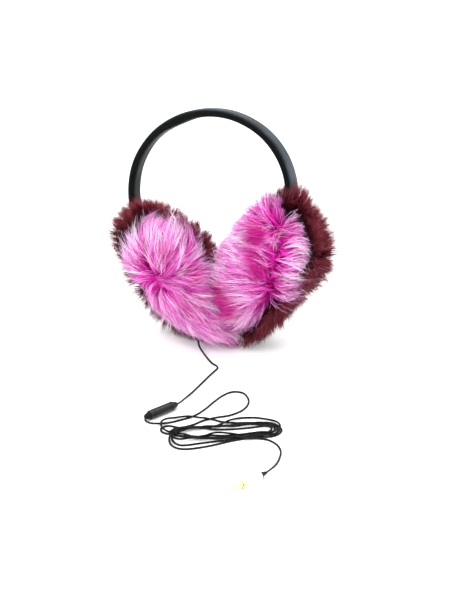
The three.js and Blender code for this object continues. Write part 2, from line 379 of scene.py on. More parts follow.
class Effects:
    """The shader node groups that several finishes share, each built once."""

    def __init__(self) -> None:
        """Builds every group."""
        self.grain = self._grain()
        self.wear_and_sheen_mask = self._wear_and_sheen_mask()
        self.strand = self._strand()

    @staticmethod
    def _grain() -> bpy.types.NodeTree:
        """Pebbled skin: the dip between cells of a cell pattern, with fine noise added.

        Returns:
            A group that gives the height of a moulded or embossed grain.
        """
        group = SharedGroup("Grain", {"Vector": (VECTOR, (0, 0, 0)), "Scale": (FLOAT, 1000.0),
                                      "Fine": (FLOAT, 0.3)}, {"Height": FLOAT})
        graph, given = group.graph, group.given
        cells = graph.add("ShaderNodeTexVoronoi",
                          {"Vector": given["Vector"], "Scale": given["Scale"],
                           "Randomness": 0.9}, feature="DISTANCE_TO_EDGE")
        dips = graph.spread(cells.outputs["Distance"], 0.0, 0.22, 0.0, 1.0)
        finer = graph.math("MULTIPLY", given["Scale"], 2.3)
        noise = graph.noise(given["Vector"], finer, Detail=3.0)
        fine = graph.math("MULTIPLY", noise, given["Fine"])
        return group.give(Height=graph.math("ADD", dips, fine))

    @staticmethod
    def _wear_and_sheen_mask() -> bpy.types.NodeTree:
        """Wear marks, and patches of painted sheen on the leatherette: broad soft noise with smaller
        noise over it, brought to 0 to 1.

        Returns:
            A group that gives a mask of wear and dust patches, and of the leatherette's painted sheen
            patches.
        """
        group = SharedGroup("WearAndSheen", {"Vector": (VECTOR, (0, 0, 0)), "Scale": (FLOAT, 40.0)},
                            {"Mask": FLOAT})
        graph, given = group.graph, group.given
        noise = graph.noise(given["Vector"], given["Scale"], Detail=5.0, Roughness=0.6)
        return group.give(Mask=graph.spread(noise, 0.35, 0.7, 0.0, 1.0))

    @staticmethod
    def _strand() -> bpy.types.NodeTree:
        """Colour along a hair: root to middle to tip, moved up or down by the hair's own chance.

        The fur attribute holds how far along the hair (red), the hair's chance (green), its
        lock's chance (blue) and the place's tone (alpha). A lock whose chance is under the deep
        share takes the deep colour. A tone of 1 is plain, less turns the hair to the hollow
        colour, and more to the tip's.

        Returns:
            A group that gives the hair's colour and how far along it is.
        """
        group = SharedGroup(
            "Strand", {"Root": (COLOUR, linear(0x8C0450)), "Middle": (COLOUR, linear(0xE050B8)),
                       "Tip": (COLOUR, linear(0xFFE0FA)), "Deep": (COLOUR, linear(0xC01080)),
                       "Tip Start": (FLOAT, 0.45), "Variety": (FLOAT, 0.3),
                       "Deep Share": (FLOAT, 0.3), "Hollow": (COLOUR, linear(0xD20692))},
            {"Color": COLOUR, "Along": FLOAT})
        graph, given = group.graph, group.given
        fur = graph.add("ShaderNodeAttribute", attribute_name=FUR_ATTRIBUTE)
        along, hair, lock = graph.add("ShaderNodeSeparateColor", {0: fur.outputs["Color"]}).outputs
        tone = fur.outputs["Alpha"]
        chance = graph.math("MULTIPLY", graph.math("SUBTRACT", hair, 0.5), given["Variety"])
        moved = graph.math("ADD", along, chance)
        lower = graph.spread(moved, 0.05, 0.42, 0.0, 1.0)
        body = graph.mix(lower, given["Root"], given["Middle"])
        shifted = graph.math("SUBTRACT", moved, given["Tip Start"])
        pale = graph.mix(graph.spread(shifted, 0.0, 0.5, 0.0, 1.0), body, given["Tip"])
        gate = graph.math("GREATER_THAN", given["Deep Share"], lock)
        fade = graph.math("MULTIPLY", gate, graph.spread(moved, 0.55, 1.05, 0.85, 0.25))
        deep = graph.mix(fade, pale, given["Deep"])
        hollow = graph.mix(graph.spread(tone, 0.2, 1.0, 0.92, 0.0), deep, given["Hollow"])
        paler = graph.math("MULTIPLY", graph.spread(tone, 1.0, 1.7, 0.0, 0.9),
                           graph.spread(moved, 0.2, 0.8, 0.0, 1.0))
        toned = graph.mix(paler, hollow, given["Tip"])
        light = graph.math("MULTIPLY", graph.spread(hair, 0.0, 1.0, 0.86, 1.1),
                           graph.spread(lock, 0.2, 0.8, 0.84, 1.08))
        grey = graph.add("ShaderNodeCombineColor", {0: light, 1: light, 2: light})
        return group.give(Color=graph.mix(1.0, toned, grey.outputs[0], "MULTIPLY"), Along=along)


class Surface(Graph):
    """A new material's nodes: a Principled surface, and what several finishes share."""

    def __init__(self, name: str, **values: object) -> None:
        """Makes the material.

        Args:
            name: The material's name.
            **values: Plain numbers for the surface's own sockets, spaces written as underscores.
        """
        self.material = bpy.data.materials.new(name)
        self.material.use_nodes = True
        super().__init__(self.material.node_tree)
        self.tree.nodes.clear()
        self.shader = self.add("ShaderNodeBsdfPrincipled",
                               {key.replace("_", " "): value for key, value in values.items()})
        out = self.add("ShaderNodeOutputMaterial", {"Surface": self.shader.outputs["BSDF"]})
        out.is_active_output = True

    def dress(self, **sockets: Socket) -> None:
        """Links values to the surface's own sockets, spaces written as underscores."""
        for socket, value in sockets.items():
            self.join(value, self.shader, socket.replace("_", " "))

    def wear_and_sheen_marks(self, effects: Effects, scale: float, clean: int,
               wear_and_sheen_colour: int) -> tuple[Socket, Socket]:
        """Adds patches of a second colour: wear marks, and on the leatherette patches of painted
        sheen.

        Args:
            effects: The shared groups.
            scale: Patches in a metre.
            clean: The colour between the marks.
            wear_and_sheen_colour: The colour of the marks: wear, and on the leatherette painted
                sheen.

        Returns:
            The mask of the marks, and the colour.
        """
        mask = self.add("ShaderNodeGroup", {"Vector": self.place(), "Scale": scale},
                        node_tree=effects.wear_and_sheen_mask).outputs["Mask"]
        return mask, self.mix(mask, linear(clean), linear(wear_and_sheen_colour))

    def grain(self, effects: Effects, scale: float, fine: float = 0.3) -> Socket:
        """Adds the shared grain, of so many cells in a metre, and returns its height."""
        return self.add("ShaderNodeGroup", {"Vector": self.place(), "Scale": scale, "Fine": fine},
                        node_tree=effects.grain).outputs["Height"]

    def bump(self, height: Socket, depth: float, under: Socket | None = None) -> Socket:
        """Adds a bump.

        Args:
            height: The height, from 0 to 1.
            depth: How many metres a height of 1 is.
            under: The normal of a bump that this one lies on.

        Returns:
            The normal.
        """
        inputs = {"Height": height, "Distance": depth, "Strength": 1.0}
        if under is not None:
            inputs["Normal"] = under
        return self.add("ShaderNodeBump", inputs).outputs["Normal"]


@dataclass(frozen=True)
class FurFinish:
    """Hair with a dark root, a coloured middle and a paler tip, and some locks of a deep colour."""

    name: str
    root: int
    middle: int
    tip: int
    deep: int
    tip_start: float
    variety: float
    deep_share: float
    gloss: float

    def build(self, effects: Effects) -> Material:
        """Makes the material from the shared strand group.

        Args:
            effects: The shared groups.

        Returns:
            The material.
        """
        surface = Surface(self.name, Roughness=0.5, Specular_IOR_Level=self.gloss)
        strand = surface.add("ShaderNodeGroup", {
            "Root": linear(self.root), "Middle": linear(self.middle), "Tip": linear(self.tip),
            "Deep": linear(self.deep), "Tip Start": self.tip_start, "Variety": self.variety,
            "Deep Share": self.deep_share}, node_tree=effects.strand).outputs
        surface.dress(Base_Color=strand["Color"],
                      Roughness=surface.spread(strand["Along"], 0.0, 1.0, 0.62, 0.42))
        return surface.material


@dataclass(frozen=True)
class BackingFinish:
    """The short dense underpile that the long hair grows from."""

    name: str
    dark: int
    light: int

    def build(self, effects: Effects) -> Material:
        """Makes the material: two tones over a fine pile, with a felted bump.

        Args:
            effects: The shared groups.

        Returns:
            The material.
        """
        surface = Surface(self.name, Roughness=0.9, Specular_IOR_Level=0.2)
        _, colour = surface.wear_and_sheen_marks(effects, 160.0, self.dark, self.light)
        felt = surface.bump(surface.grain(effects, 700.0, fine=1.0), 0.0006)
        surface.dress(Base_Color=colour, Normal=felt)
        return surface.material


@dataclass(frozen=True)
class MouldedFinish:
    """Moulded rubber or plastic: one colour with patches of wear and a fine grain."""

    name: str
    colour: int
    wear_and_sheen_marks: int
    roughness: tuple[float, float]
    grain_scale: float
    grain_depth: float
    coat: float = 0.0
    gloss: float = 0.5

    def build(self, effects: Effects) -> Material:
        """Makes the material.

        Args:
            effects: The shared groups.

        Returns:
            The material.
        """
        surface = Surface(self.name, Coat_Weight=self.coat, Coat_Roughness=0.15,
                          Specular_IOR_Level=self.gloss)
        mask, colour = surface.wear_and_sheen_marks(effects, 90.0, self.colour, self.wear_and_sheen_marks)
        surface.dress(Base_Color=colour,
                      Roughness=surface.spread(mask, 0.0, 1.0, *self.roughness),
                      Normal=surface.bump(surface.grain(effects, self.grain_scale),
                                          self.grain_depth))
        return surface.material


@dataclass(frozen=True)
class LeatheretteFinish:
    """Coated fabric: pebble grain under fine cross creases, glossier on the outside. Its outer face's
    paler colour and slate patches are painted sheen, and its near-black sides and lining are painted
    shade.
    """

    name: str = "leatherette"
    # The outer face's colour, paler than the band's black: painted sheen.
    colour: int = 0x171E23
    # Paler slate patches on the outer face: painted sheen.
    wear_and_sheen_colour: int = 0x333F48
    # The sides and lining, darker than the band's black: painted shade.
    shaded: int = 0x020303

    def build(self, effects: Effects) -> Material:
        """Makes the material. The UV map runs along the band (u) and from in to out (v).

        Args:
            effects: The shared groups.

        Returns:
            The material.
        """
        surface = Surface(self.name, Specular_IOR_Level=0.07, Coat_Roughness=0.25,
                          Coat_IOR=1.25, Sheen_Weight=0.06, Sheen_Roughness=0.3,
                          Sheen_Tint=linear(0xA8CAD2))
        # The outer face's colour mixed with paler slate patches: painted sheen.
        mask, top = surface.wear_and_sheen_marks(effects, 55.0, self.colour, self.wear_and_sheen_colour)
        face = surface.add("ShaderNodeSeparateXYZ", {0: surface.place("UV")}).outputs[1]
        # Mask of the outer face, which takes the painted sheen colours; the rest takes the painted
        # shade.
        outer = surface.spread(face, 0.72, 0.93, 0.0, 1.0)
        pebble = surface.bump(surface.grain(effects, 950.0), 0.0002)
        crease = surface.streaks((46.0, 2.2, 1.0), Detail=4.0, Distortion=0.6)
        # Base colour: painted sheen on the outer face, and near-black painted shade on the sides and
        # lining.
        surface.dress(Base_Color=surface.mix(outer, linear(self.shaded), top),
                      Coat_Weight=surface.spread(outer, 0.0, 1.0, 0.02, 0.5),
                      Roughness=surface.spread(mask, 0.0, 1.0, 0.3, 0.42),
                      Normal=surface.bump(crease, 0.0006, pebble))
        return surface.material


@dataclass(frozen=True)
class GoldFinish:
    """Pale gold plate with faint turning marks round it."""

    name: str = "plug_gold"
    colour: int = 0xF0F4C2
    dull: int = 0xD6DCA6

    def build(self, effects: Effects) -> Material:
        """Makes the material. The UV map runs round (u) and along (v) the turned part.

        Args:
            effects: The shared groups.

        Returns:
            The material.
        """
        surface = Surface(self.name, Metallic=1.0)
        mask, colour = surface.wear_and_sheen_marks(effects, 300.0, self.colour, self.dull)
        marks = surface.streaks((1.0, 90.0, 1.0), Detail=2.0)
        surface.dress(Base_Color=colour, Roughness=surface.spread(mask, 0.0, 1.0, 0.2, 0.36),
                      Normal=surface.bump(marks, 0.00004))
        return surface.material


class Palette:
    """Every material of the object, by the record's slot or the piece's own need."""

    def __init__(self) -> None:
        """Builds the finishes."""
        effects = Effects()
        # name, root, middle, tip, deep, tip start, variety, deep share, gloss
        self.guard = FurFinish("fur_pink_guard_hair", 0xD00496, 0xE62CC0, 0xFCAAEE, 0xDC08A2,
                               0.36, 0.7, 0.3, 0.2).build(effects)
        self.under = FurFinish("fur_pink_underfur", 0xBC047E, 0xDC12A8, 0xF058D8, 0xD20492,
                               0.55, 0.4, 0.3, 0.2).build(effects)
        self.frost = FurFinish("fur_pink_frosted_hair", 0xE838C4, 0xF994E8, 0xFFF2FF, 0xF260D6,
                               0.32, 0.6, 0.2, 0.2).build(effects)
        self.maroon = FurFinish("fur_maroon", 0x20060D, 0x56151F, 0x964350, 0x300913,
                                0.55, 0.45, 0.25, 0.05).build(effects)
        self.pink_backing = BackingFinish("fur_pink_backing", 0xB4046C, 0xE0148C).build(effects)
        self.maroon_backing = BackingFinish("fur_maroon_backing", 0x1C060C,
                                            0x3A121C).build(effects)
        self.leatherette = LeatheretteFinish().build(effects)
        # name, colour, wear_and_sheen_marks (the wear marks' colour), roughness, grain scale, grain
        # depth in metres
        self.rubber = MouldedFinish("cord_rubber", 0x040505, 0x0B0E10, (0.3, 0.42), 2400.0,
                                    0.00003, gloss=0.14).build(effects)
        self.remote = MouldedFinish("remote_plastic", 0x070A0B, 0x12181A, (0.16, 0.26), 3000.0,
                                    0.00001, gloss=0.3).build(effects)
        self.pale = MouldedFinish("pale_plastic", 0xF6F9F8, 0xE6ECEC, (0.2, 0.34), 3000.0,
                                  0.00001, coat=0.3).build(effects)
        self.pin_ring = MouldedFinish("pin_insulator", 0xEFEFC4, 0xE2E2B4, (0.35, 0.5), 3000.0,
                                      0.00001).build(effects)
        self.gold = GoldFinish().build(effects)


# ---- camera, floor and light ----

@dataclass(frozen=True)
class Lamp:
    """A square soft light aimed at the camera's target: place and side in metres, and watts."""

    name: str
    place: Place
    side: float
    power: float


@dataclass(frozen=True)
class Studio:
    """Camera, pale floor, soft lights and bright surroundings.

    The camera's distance, target and scale are in millimetres, and the floor's side in metres.
    """

    azimuth: float = 20.0
    elevation: float = 24.0
    distance: float = 1200.0
    target: Place = (1.3, -13.4, 44.0)
    scale: float = 0.865
    frame_height: int = 600
    sensor: float = 36.0
    floor_side: float = 12.0
    floor_colour: int = 0xFAFAFA
    floor_mottle: int = 0xF4F4F5
    lights: tuple[Lamp, ...] = (
        Lamp("key", (-0.7, -1.4, 1.6), 1.6, 38.0), Lamp("fill", (1.5, -1.1, 0.9), 1.4, 13.0),
        Lamp("top", (0.2, 0.5, 1.9), 1.6, 24.0), Lamp("rim", (1.5, 1.0, 0.6), 1.0, 10.0))

    def camera(self) -> None:
        """Places the camera so that one frame row is one scale step at the target."""
        turn, rise = math.radians(self.azimuth), math.radians(self.elevation)
        back = Vector((math.sin(turn) * math.cos(rise), -math.cos(turn) * math.cos(rise),
                       math.sin(rise)))
        data = bpy.data.cameras.new("camera")
        data.sensor_width = self.sensor
        data.lens = self.sensor * self.distance / (self.scale * self.frame_height)
        data.clip_start, data.clip_end = 0.01, 60.0
        data.dof.use_dof = False
        camera = put("camera", data)
        camera.location = (Vector(self.target) + back * self.distance) * MM
        camera.rotation_euler = back.to_track_quat("Z", "Y").to_euler()
        bpy.context.scene.camera = camera

    def floor(self) -> None:
        """Lays the plain pale floor."""
        half = self.floor_side / 2 / MM
        corners = np.array([(-half, -half, 0), (half, -half, 0), (half, half, 0),
                            (-half, half, 0)], dtype=float)
        surface = Surface("floor", Roughness=0.85, Specular_IOR_Level=0.2)
        mottled = surface.spread(surface.noise(surface.place(), 3.0), 0.3, 0.7, 0.0, 0.15)
        surface.dress(Base_Color=surface.mix(mottled, linear(self.floor_colour),
                                             linear(self.floor_mottle)))
        floor = make_mesh("floor", corners, [np.array([[0, 1, 2, 3]])], [surface.material])

    def light(self) -> None:
        """Hangs the soft lights and brightens the surroundings."""
        for lamp in self.lights:
            data = bpy.data.lights.new(lamp.name, "AREA")
            data.size, data.energy = lamp.side, lamp.power
            light = put(lamp.name, data)
            light.location = lamp.place
            aim = Vector(lamp.place) - Vector(self.target) * MM
            light.rotation_euler = aim.to_track_quat("Z", "Y").to_euler()
        world = bpy.data.worlds.new("surroundings")
        world.use_nodes = True
        sky = world.node_tree.nodes["Background"]
        sky.inputs["Color"].default_value = (1.0, 1.0, 1.0, 1.0)
        sky.inputs["Strength"].default_value = 1.0
        bpy.context.scene.world = world
        bpy.context.scene.view_settings.view_transform = "Standard"


# ---- cord ----

class End(Enum):
    """The two ends of the hank, and the way that a fold there points."""

    LARGE = 1
    SMALL = -1


@dataclass(frozen=True)
class Fold:
    """One turn of the cord round an end of the hank, in the hank's own axes.

    Along runs from the large end to the small one, and across is square to it. Onward holds
    places, along and across, that the cord passes on its way to the next fold.
    """

    end: End
    tip: float
    middle: float
    depth: float
    half_width: float
    onward: tuple[tuple[float, float], ...] = ()

    def points(self, count: int = 7, sweep: float = 78.0) -> Points:
        """Half an ellipse round the tip, and then the onward places.

        Along is the tip and depth times 1 minus cosine, and across is the middle and half width
        times sine.

        Args:
            count: Points round the fold.
            sweep: How far to each side of the tip it goes, in degrees.

        Returns:
            Places along and across, (n, 2).
        """
        way = self.end.value
        turn = way * np.radians(np.linspace(sweep, -sweep, count))
        fold = np.stack([self.tip + way * self.depth * (1 - np.cos(turn)),
                         self.middle + self.half_width * np.sin(turn)], -1)
        return np.vstack([fold, np.reshape(self.onward, (-1, 2))])


# The route where the cord isn't wound, as the frame's cord has it: x, y and height of its middle.
LEAD = [(-19.4, -24.2, 5.6), (-17.5, -28.5, 2.9), (-14.7, -32.8, 1.35), (-10.7, -37.6, 0.9),
        (-6.3, -42.4, 0.9), (-1.5, -47.2, 0.9), (3.1, -51.2, 0.9), (7, -53.4, 0.9),
        (9.9, -54.5, 0.9), (11.2, -57.6, 0.9), (10.4, -63.4, 0.9), (9.3, -74.2, 0.9),
        (8.2, -88.1, 0.9), (7, -101.7, 0.9), (6.2, -111.4, 1), (5.9, -122.4, 2.2),
        (5.6, -128.9, 3.4), (4.8, -133.35, 3.8)]
IN_REMOTE = [(-3.45, -148.6, 3.8)]
RUN = [(-11.7, -163.75, 3.8), (-12.9, -167, 3), (-11.1, -169.8, 1.8), (-6.3, -169.2, 1),
       (1.7, -165, 0.9), (11.7, -156.4, 0.9), (22.2, -142.9, 0.9)]
LOOP = [(26.2, -131.4, 0.9), (29.2, -114.4, 0.9), (32.2, -102.4, 0.9), (37.2, -94.4, 0.9),
        (45.2, -92.9, 0.9), (52.2, -99.4, 0.9), (56.2, -109.4, 0.9), (55.2, -121.4, 0.9),
        (48.7, -132.4, 0.9), (39.9, -139.4, 0.9)]
LOOP_IN = [(32.1, -147.6, 0.9), (26.4, -157.2, 0.9), (18.2, -164.6, 0.9)]
TAIL = [(75.7, -161.9, 0.9), (81.7, -159.8, 0.9), (90.2, -159.4, 0.9), (98.7, -164.4, 0.9),
        (104.2, -172.9, 0.9), (106.5, -184.4, 1), (106.7, -196.4, 1.6), (105, -208.85, 3.4)]


@dataclass(frozen=True)
class Cord:
    """The thin cord: sleeve to remote, a loose loop, a hank of five turns, and the tail.

    Attributes:
        step: Distance between the points of its middle line.
        rest: Height of that line where the cord lies.
        climb: Rise for each millimetre where it goes over itself.
        apart: Diameters between the middles of strands side by side.
        before: Diameters back along it from which a stretch was laid earlier.
        alike: Cosine from which two strands push apart, and how much more is a full push.
        fixed_ends: Length at each end that isn't pushed.
        fixed_bend: Place of the bend at the remote, and the length beside it that isn't pushed.
        least_bend: Radius below which a bend is eased.
        folds: The hank's folds in the order in which the cord is laid.
    """

    diameter: float = 1.65
    length: float = 1500.0
    step: float = 1.0
    rest: float = 0.9
    climb: float = 0.12
    apart: float = 1.1
    before: float = 4.0
    alike: tuple[float, float] = (0.955, 0.035)
    fixed_ends: float = 40.0
    fixed_bend: tuple[float, float] = (170.0, 30.0)
    least_bend: float = 5.6
    hank_centre: tuple[float, float] = (48.7, -159.4)
    hank_turn: float = 20.0
    folds: tuple[Fold, ...] = (
        Fold(End.LARGE, -44.8, 2.6, 6.8, 6.9, ((-25, -8), (0, -10), (20, -9))),
        Fold(End.SMALL, 47.6, 3.6, 11, 10.2,
             ((24, 12.4), (8, 13.6), (-6, 17), (-18, 20.8), (-30, 21.2))),
        Fold(End.LARGE, -44.8, 8.7, 12.5, 12, ((-26, -7.5), (-14, -10.5), (2, -7), (20, -6.5))),
        Fold(End.SMALL, 45.4, 2.6, 8, 7.2, ((24, 11.6), (8, 9), (-6, 7), (-20, 5.8))),
        Fold(End.LARGE, -37.5, -14, 11, 13.5, ((-23, -27.6), (-8, -23.5), (10, -15.5),
                                               (26, -9.5))),
        Fold(End.SMALL, 48.2, 6.5, 13, 13,
             ((28, 21.6), (17, 20.4), (9, 15), (1, 8), (-8, 5.2), (-20, 4))),
        Fold(End.LARGE, -35.8, -11.5, 9, 10.5, ((-25, -21.8), (-12, -18.5), (4, -14.5),
                                                (20, -10))),
        Fold(End.SMALL, 43, 1.4, 7, 7, ((25, 5.4), (10, 2.8), (-4, 2.4), (-20, 2.4))),
        Fold(End.LARGE, -37, -8.5, 9, 8.5, ((-24, -14), (-12, -11.5), (2, -6), (20, -7.5))),
        Fold(End.SMALL, 46.6, 3, 8.5, 8.4, ((24, 10.6), (10, 7), (-4, 4), (-20, 0.8))),
        Fold(End.LARGE, -33.6, -7, 7, 6.5, ((-14, -13), (4, -12))))

    def hank_points(self) -> list[Points]:
        """Every fold's points, turned to the hank's heading and set at resting height.

        Returns:
            Points of each fold, (n, 3).
        """
        turn = math.radians(self.hank_turn)
        axes = np.array([(math.cos(turn), math.sin(turn)), (-math.sin(turn), math.cos(turn))])
        made = []
        for fold in self.folds:
            flat = np.array(self.hank_centre) + fold.points() @ axes
            made.append(np.column_stack([flat, np.full(len(flat), self.rest)]))
        return made

    @staticmethod
    def smooth_through(points: Points, step: float) -> Points:
        """A centripetal Catmull-Rom curve through the points, at even steps.

        Each span blends its four nearest points, with knots spaced by the root of their
        distance, so that it never overshoots.

        Args:
            points: Points to pass through, (n, 3).
            step: Distance between the points returned.

        Returns:
            The curve's points.
        """
        knots = np.vstack([2 * points[0] - points[1], points, 2 * points[-1] - points[-2]])
        p0, p1, p2, p3 = knots[:-3], knots[1:-2], knots[2:-1], knots[3:]
        gap = [np.sqrt(np.linalg.norm(b - a, axis=1)) for a, b in ((p0, p1), (p1, p2), (p2, p3))]
        t1 = gap[0][:, None, None]
        t2, t3 = t1 + gap[1][:, None, None], t1 + (gap[1] + gap[2])[:, None, None]
        u = t1 + (t2 - t1) * np.linspace(0, 1, 24, endpoint=False)[None, :, None]
        q0, q1, q2, q3 = (part[:, None, :] for part in (p0, p1, p2, p3))
        a1 = (t1 - u) / t1 * q0 + u / t1 * q1
        a2 = (t2 - u) / (t2 - t1) * q1 + (u - t1) / (t2 - t1) * q2
        a3 = (t3 - u) / (t3 - t2) * q2 + (u - t2) / (t3 - t2) * q3
        b1 = (t2 - u) / t2 * a1 + u / t2 * a2
        b2 = (t3 - u) / (t3 - t1) * a2 + (u - t1) / (t3 - t1) * a3
        curve = ((t2 - u) / (t2 - t1) * b1 + (u - t1) / (t2 - t1) * b2).reshape(-1, 3)
        return Cord.even(np.vstack([curve, points[-1:]]), step)

    @staticmethod
    def even(curve: Points, step: float) -> Points:
        """Spaces a curve's points evenly along its length.

        Args:
            curve: Points along the curve, (n, 3).
            step: The distance wanted.

        Returns:
            Points about a step apart.
        """
        run = np.r_[0, np.cumsum(np.linalg.norm(np.diff(curve, axis=0), axis=1))]
        where = np.linspace(0, run[-1], int(round(run[-1] / step)) + 1)
        return np.stack([np.interp(where, run, curve[:, axis]) for axis in range(3)], -1)

    def laid_earlier(self, number: Points) -> Points:
        """Whether each point, by row, was laid well before each other one, by column."""
        return np.subtract.outer(number, number) < -self.before * self.diameter / self.step

    def settle_sideways(self, route: Points, rounds: int = 40) -> Points:
        """Pushes strands that run nearly along each other apart until they lie side by side.

        Each pair that is too near and within about 15 degrees of parallel is moved half the
        missing distance each way, and the moves are blurred along the cord.

        Args:
            route: The cord's centreline, (n, 3).
            rounds: How often it is repeated.

        Returns:
            The moved centreline.
        """
        flat, count = route[:, :2].copy(), len(route)
        apart = self.apart * self.diameter
        blur = bell(12, 4 / self.step)
        number = np.arange(count)
        earlier = self.laid_earlier(number)
        to_end = np.minimum(number, count - 1 - number) * self.step
        free = np.clip(to_end / self.fixed_ends - 1, 0, 1)
        bend, beside = self.fixed_bend
        free *= smoothstep(0, beside, np.abs(number * self.step - bend))
        least, span = self.alike
        for _ in range(rounds):
            way = unit(np.gradient(flat, axis=0))
            gap = ((flat[:, None] - flat[None]) ** 2).sum(-1)
            first, second = np.nonzero((gap < apart ** 2) & earlier)
            alike = np.abs((way[first] * way[second]).sum(1))
            side = np.stack([-way[first][:, 1], way[first][:, 0]], -1)
            offset = ((flat[second] - flat[first]) * side).sum(1)
            push = np.clip((alike - least) / span, 0, 1) * np.maximum(0, apart - np.abs(offset))
            move = (0.5 * push * np.where(offset >= 0, 1, -1))[:, None] * side
            total, hits = np.zeros_like(flat), np.zeros(count)
            np.add.at(total, second, move)
            np.add.at(total, first, -move)
            np.add.at(hits, second, 1)
            np.add.at(hits, first, 1)
            total /= np.maximum(hits, 1)[:, None]
            total = np.stack([np.convolve(total[:, axis], blur, "same") for axis in (0, 1)], -1)
            flat += 1.05 * total * free[:, None]
        return np.column_stack([flat, route[:, 2]])

    def ease_bends(self, route: Points, rounds: int = 120, hold: int = 8) -> Points:
        """Draws places that bend tighter than least_bend to their neighbours' middle.

        Args:
            route: The centreline.
            rounds: How often it is repeated.
            hold: Points at each end that stay.

        Returns:
            The eased centreline, at even steps.
        """
        eased = route.copy()
        number = np.arange(len(route))
        for _ in range(rounds):
            slope = np.gradient(eased[:, :2], axis=0)
            bend = np.gradient(slope, axis=0)
            curl = np.abs(slope[:, 0] * bend[:, 1] - slope[:, 1] * bend[:, 0])
            curl /= np.linalg.norm(slope, axis=1) ** 3
            between = (number > hold) & (number < len(number) - hold)
            tight = number[(curl > 1 / self.least_bend) & between]
            if not len(tight):
                break
            near = np.abs(number[:, None] - tight).min(axis=1)
            share = 0.4 * smoothstep(7.0, 1.0, near.astype(float))[1:-1, None]
            middle = 0.5 * (eased[:-2] + eased[2:])
            eased[1:-1] += share * (middle - eased[1:-1])
        return self.even(eased, self.step)

    def stack(self, route: Points, rounds: int = 60) -> Points:
        """Lifts each strand over the ones already laid under it, in long low humps.

        Where two strands are nearer than a diameter, the later one stands the root of the
        diameter squared less their distance squared above the earlier one. The height then
        falls away on both sides no faster than climb, and is blurred along the cord.

        Args:
            route: The centreline, resting height included.
            rounds: How often it is repeated at most.

        Returns:
            The centreline with its heights.
        """
        number = np.arange(len(route))
        gap = np.linalg.norm(route[:, None, :2] - route[None, :, :2], axis=-1)
        first, second = np.nonzero((gap < self.diameter) & self.laid_earlier(number))
        over = np.sqrt(self.diameter ** 2 - gap[first, second] ** 2)
        fall = self.climb * self.step * number
        height = route[:, 2].copy()
        for _ in range(rounds):
            before = height.copy()
            np.maximum.at(height, second, height[first] + over)
            height = np.maximum.accumulate(height + fall) - fall
            height = np.maximum.accumulate((height + fall[::-1])[::-1])[::-1] - fall[::-1]
            if np.abs(height - before).max() < 1e-3:
                break
        reach = 6
        soft = np.convolve(np.pad(height, reach, mode="edge"), bell(reach, 2), "valid")
        held = smoothstep(0, 10, np.minimum(number, number[::-1]).astype(float))
        return np.column_stack([route[:, :2], height + held * (soft - height)])

    def route(self) -> Points:
        """The whole centreline, from the sleeve to the plug's relief.

        Returns:
            Points a step apart, (n, 3).
        """
        parts = [LEAD, IN_REMOTE, RUN, LOOP, LOOP_IN, *self.hank_points(), TAIL]
        rough = np.vstack([np.asarray(part, dtype=float) for part in parts])
        line = self.smooth_through(rough, self.step)
        return self.stack(self.ease_bends(self.settle_sideways(line)))

    def build(self, palette: Palette, with_pieces: list[Thing]) -> Thing:
        """Args:
            palette: The materials.
            with_pieces: The separate pieces on the cord; not used.

        Returns:
            The curve.
        """
        line = self.route()
        curve = bpy.data.curves.new("cord", "CURVE")
        curve.dimensions = "3D"
        spline = curve.splines.new("POLY")
        spline.points.add(len(line) - 1)
        spline.points.foreach_set("co", np.column_stack([line * MM, np.ones(len(line))]).ravel())
        curve.bevel_depth = self.diameter / 2 * MM
        curve.bevel_resolution = 2
        curve.use_fill_caps = True
        curve.materials.append(palette.rubber)
        cord = put("cord", curve)
        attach(cord, BODY)
        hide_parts("cord_lead", "cord_run", "cord_loop", "cord_hank", "cord_tail")
        return cord


@dataclass(frozen=True)
class Profile:
    """A turned piece on the cord: its node, its slot, and rows of radius and distance."""

    node: str
    slot: str
    rows: Rows
    materials: list[Material]
    dark_rows: tuple[int, ...] = ()


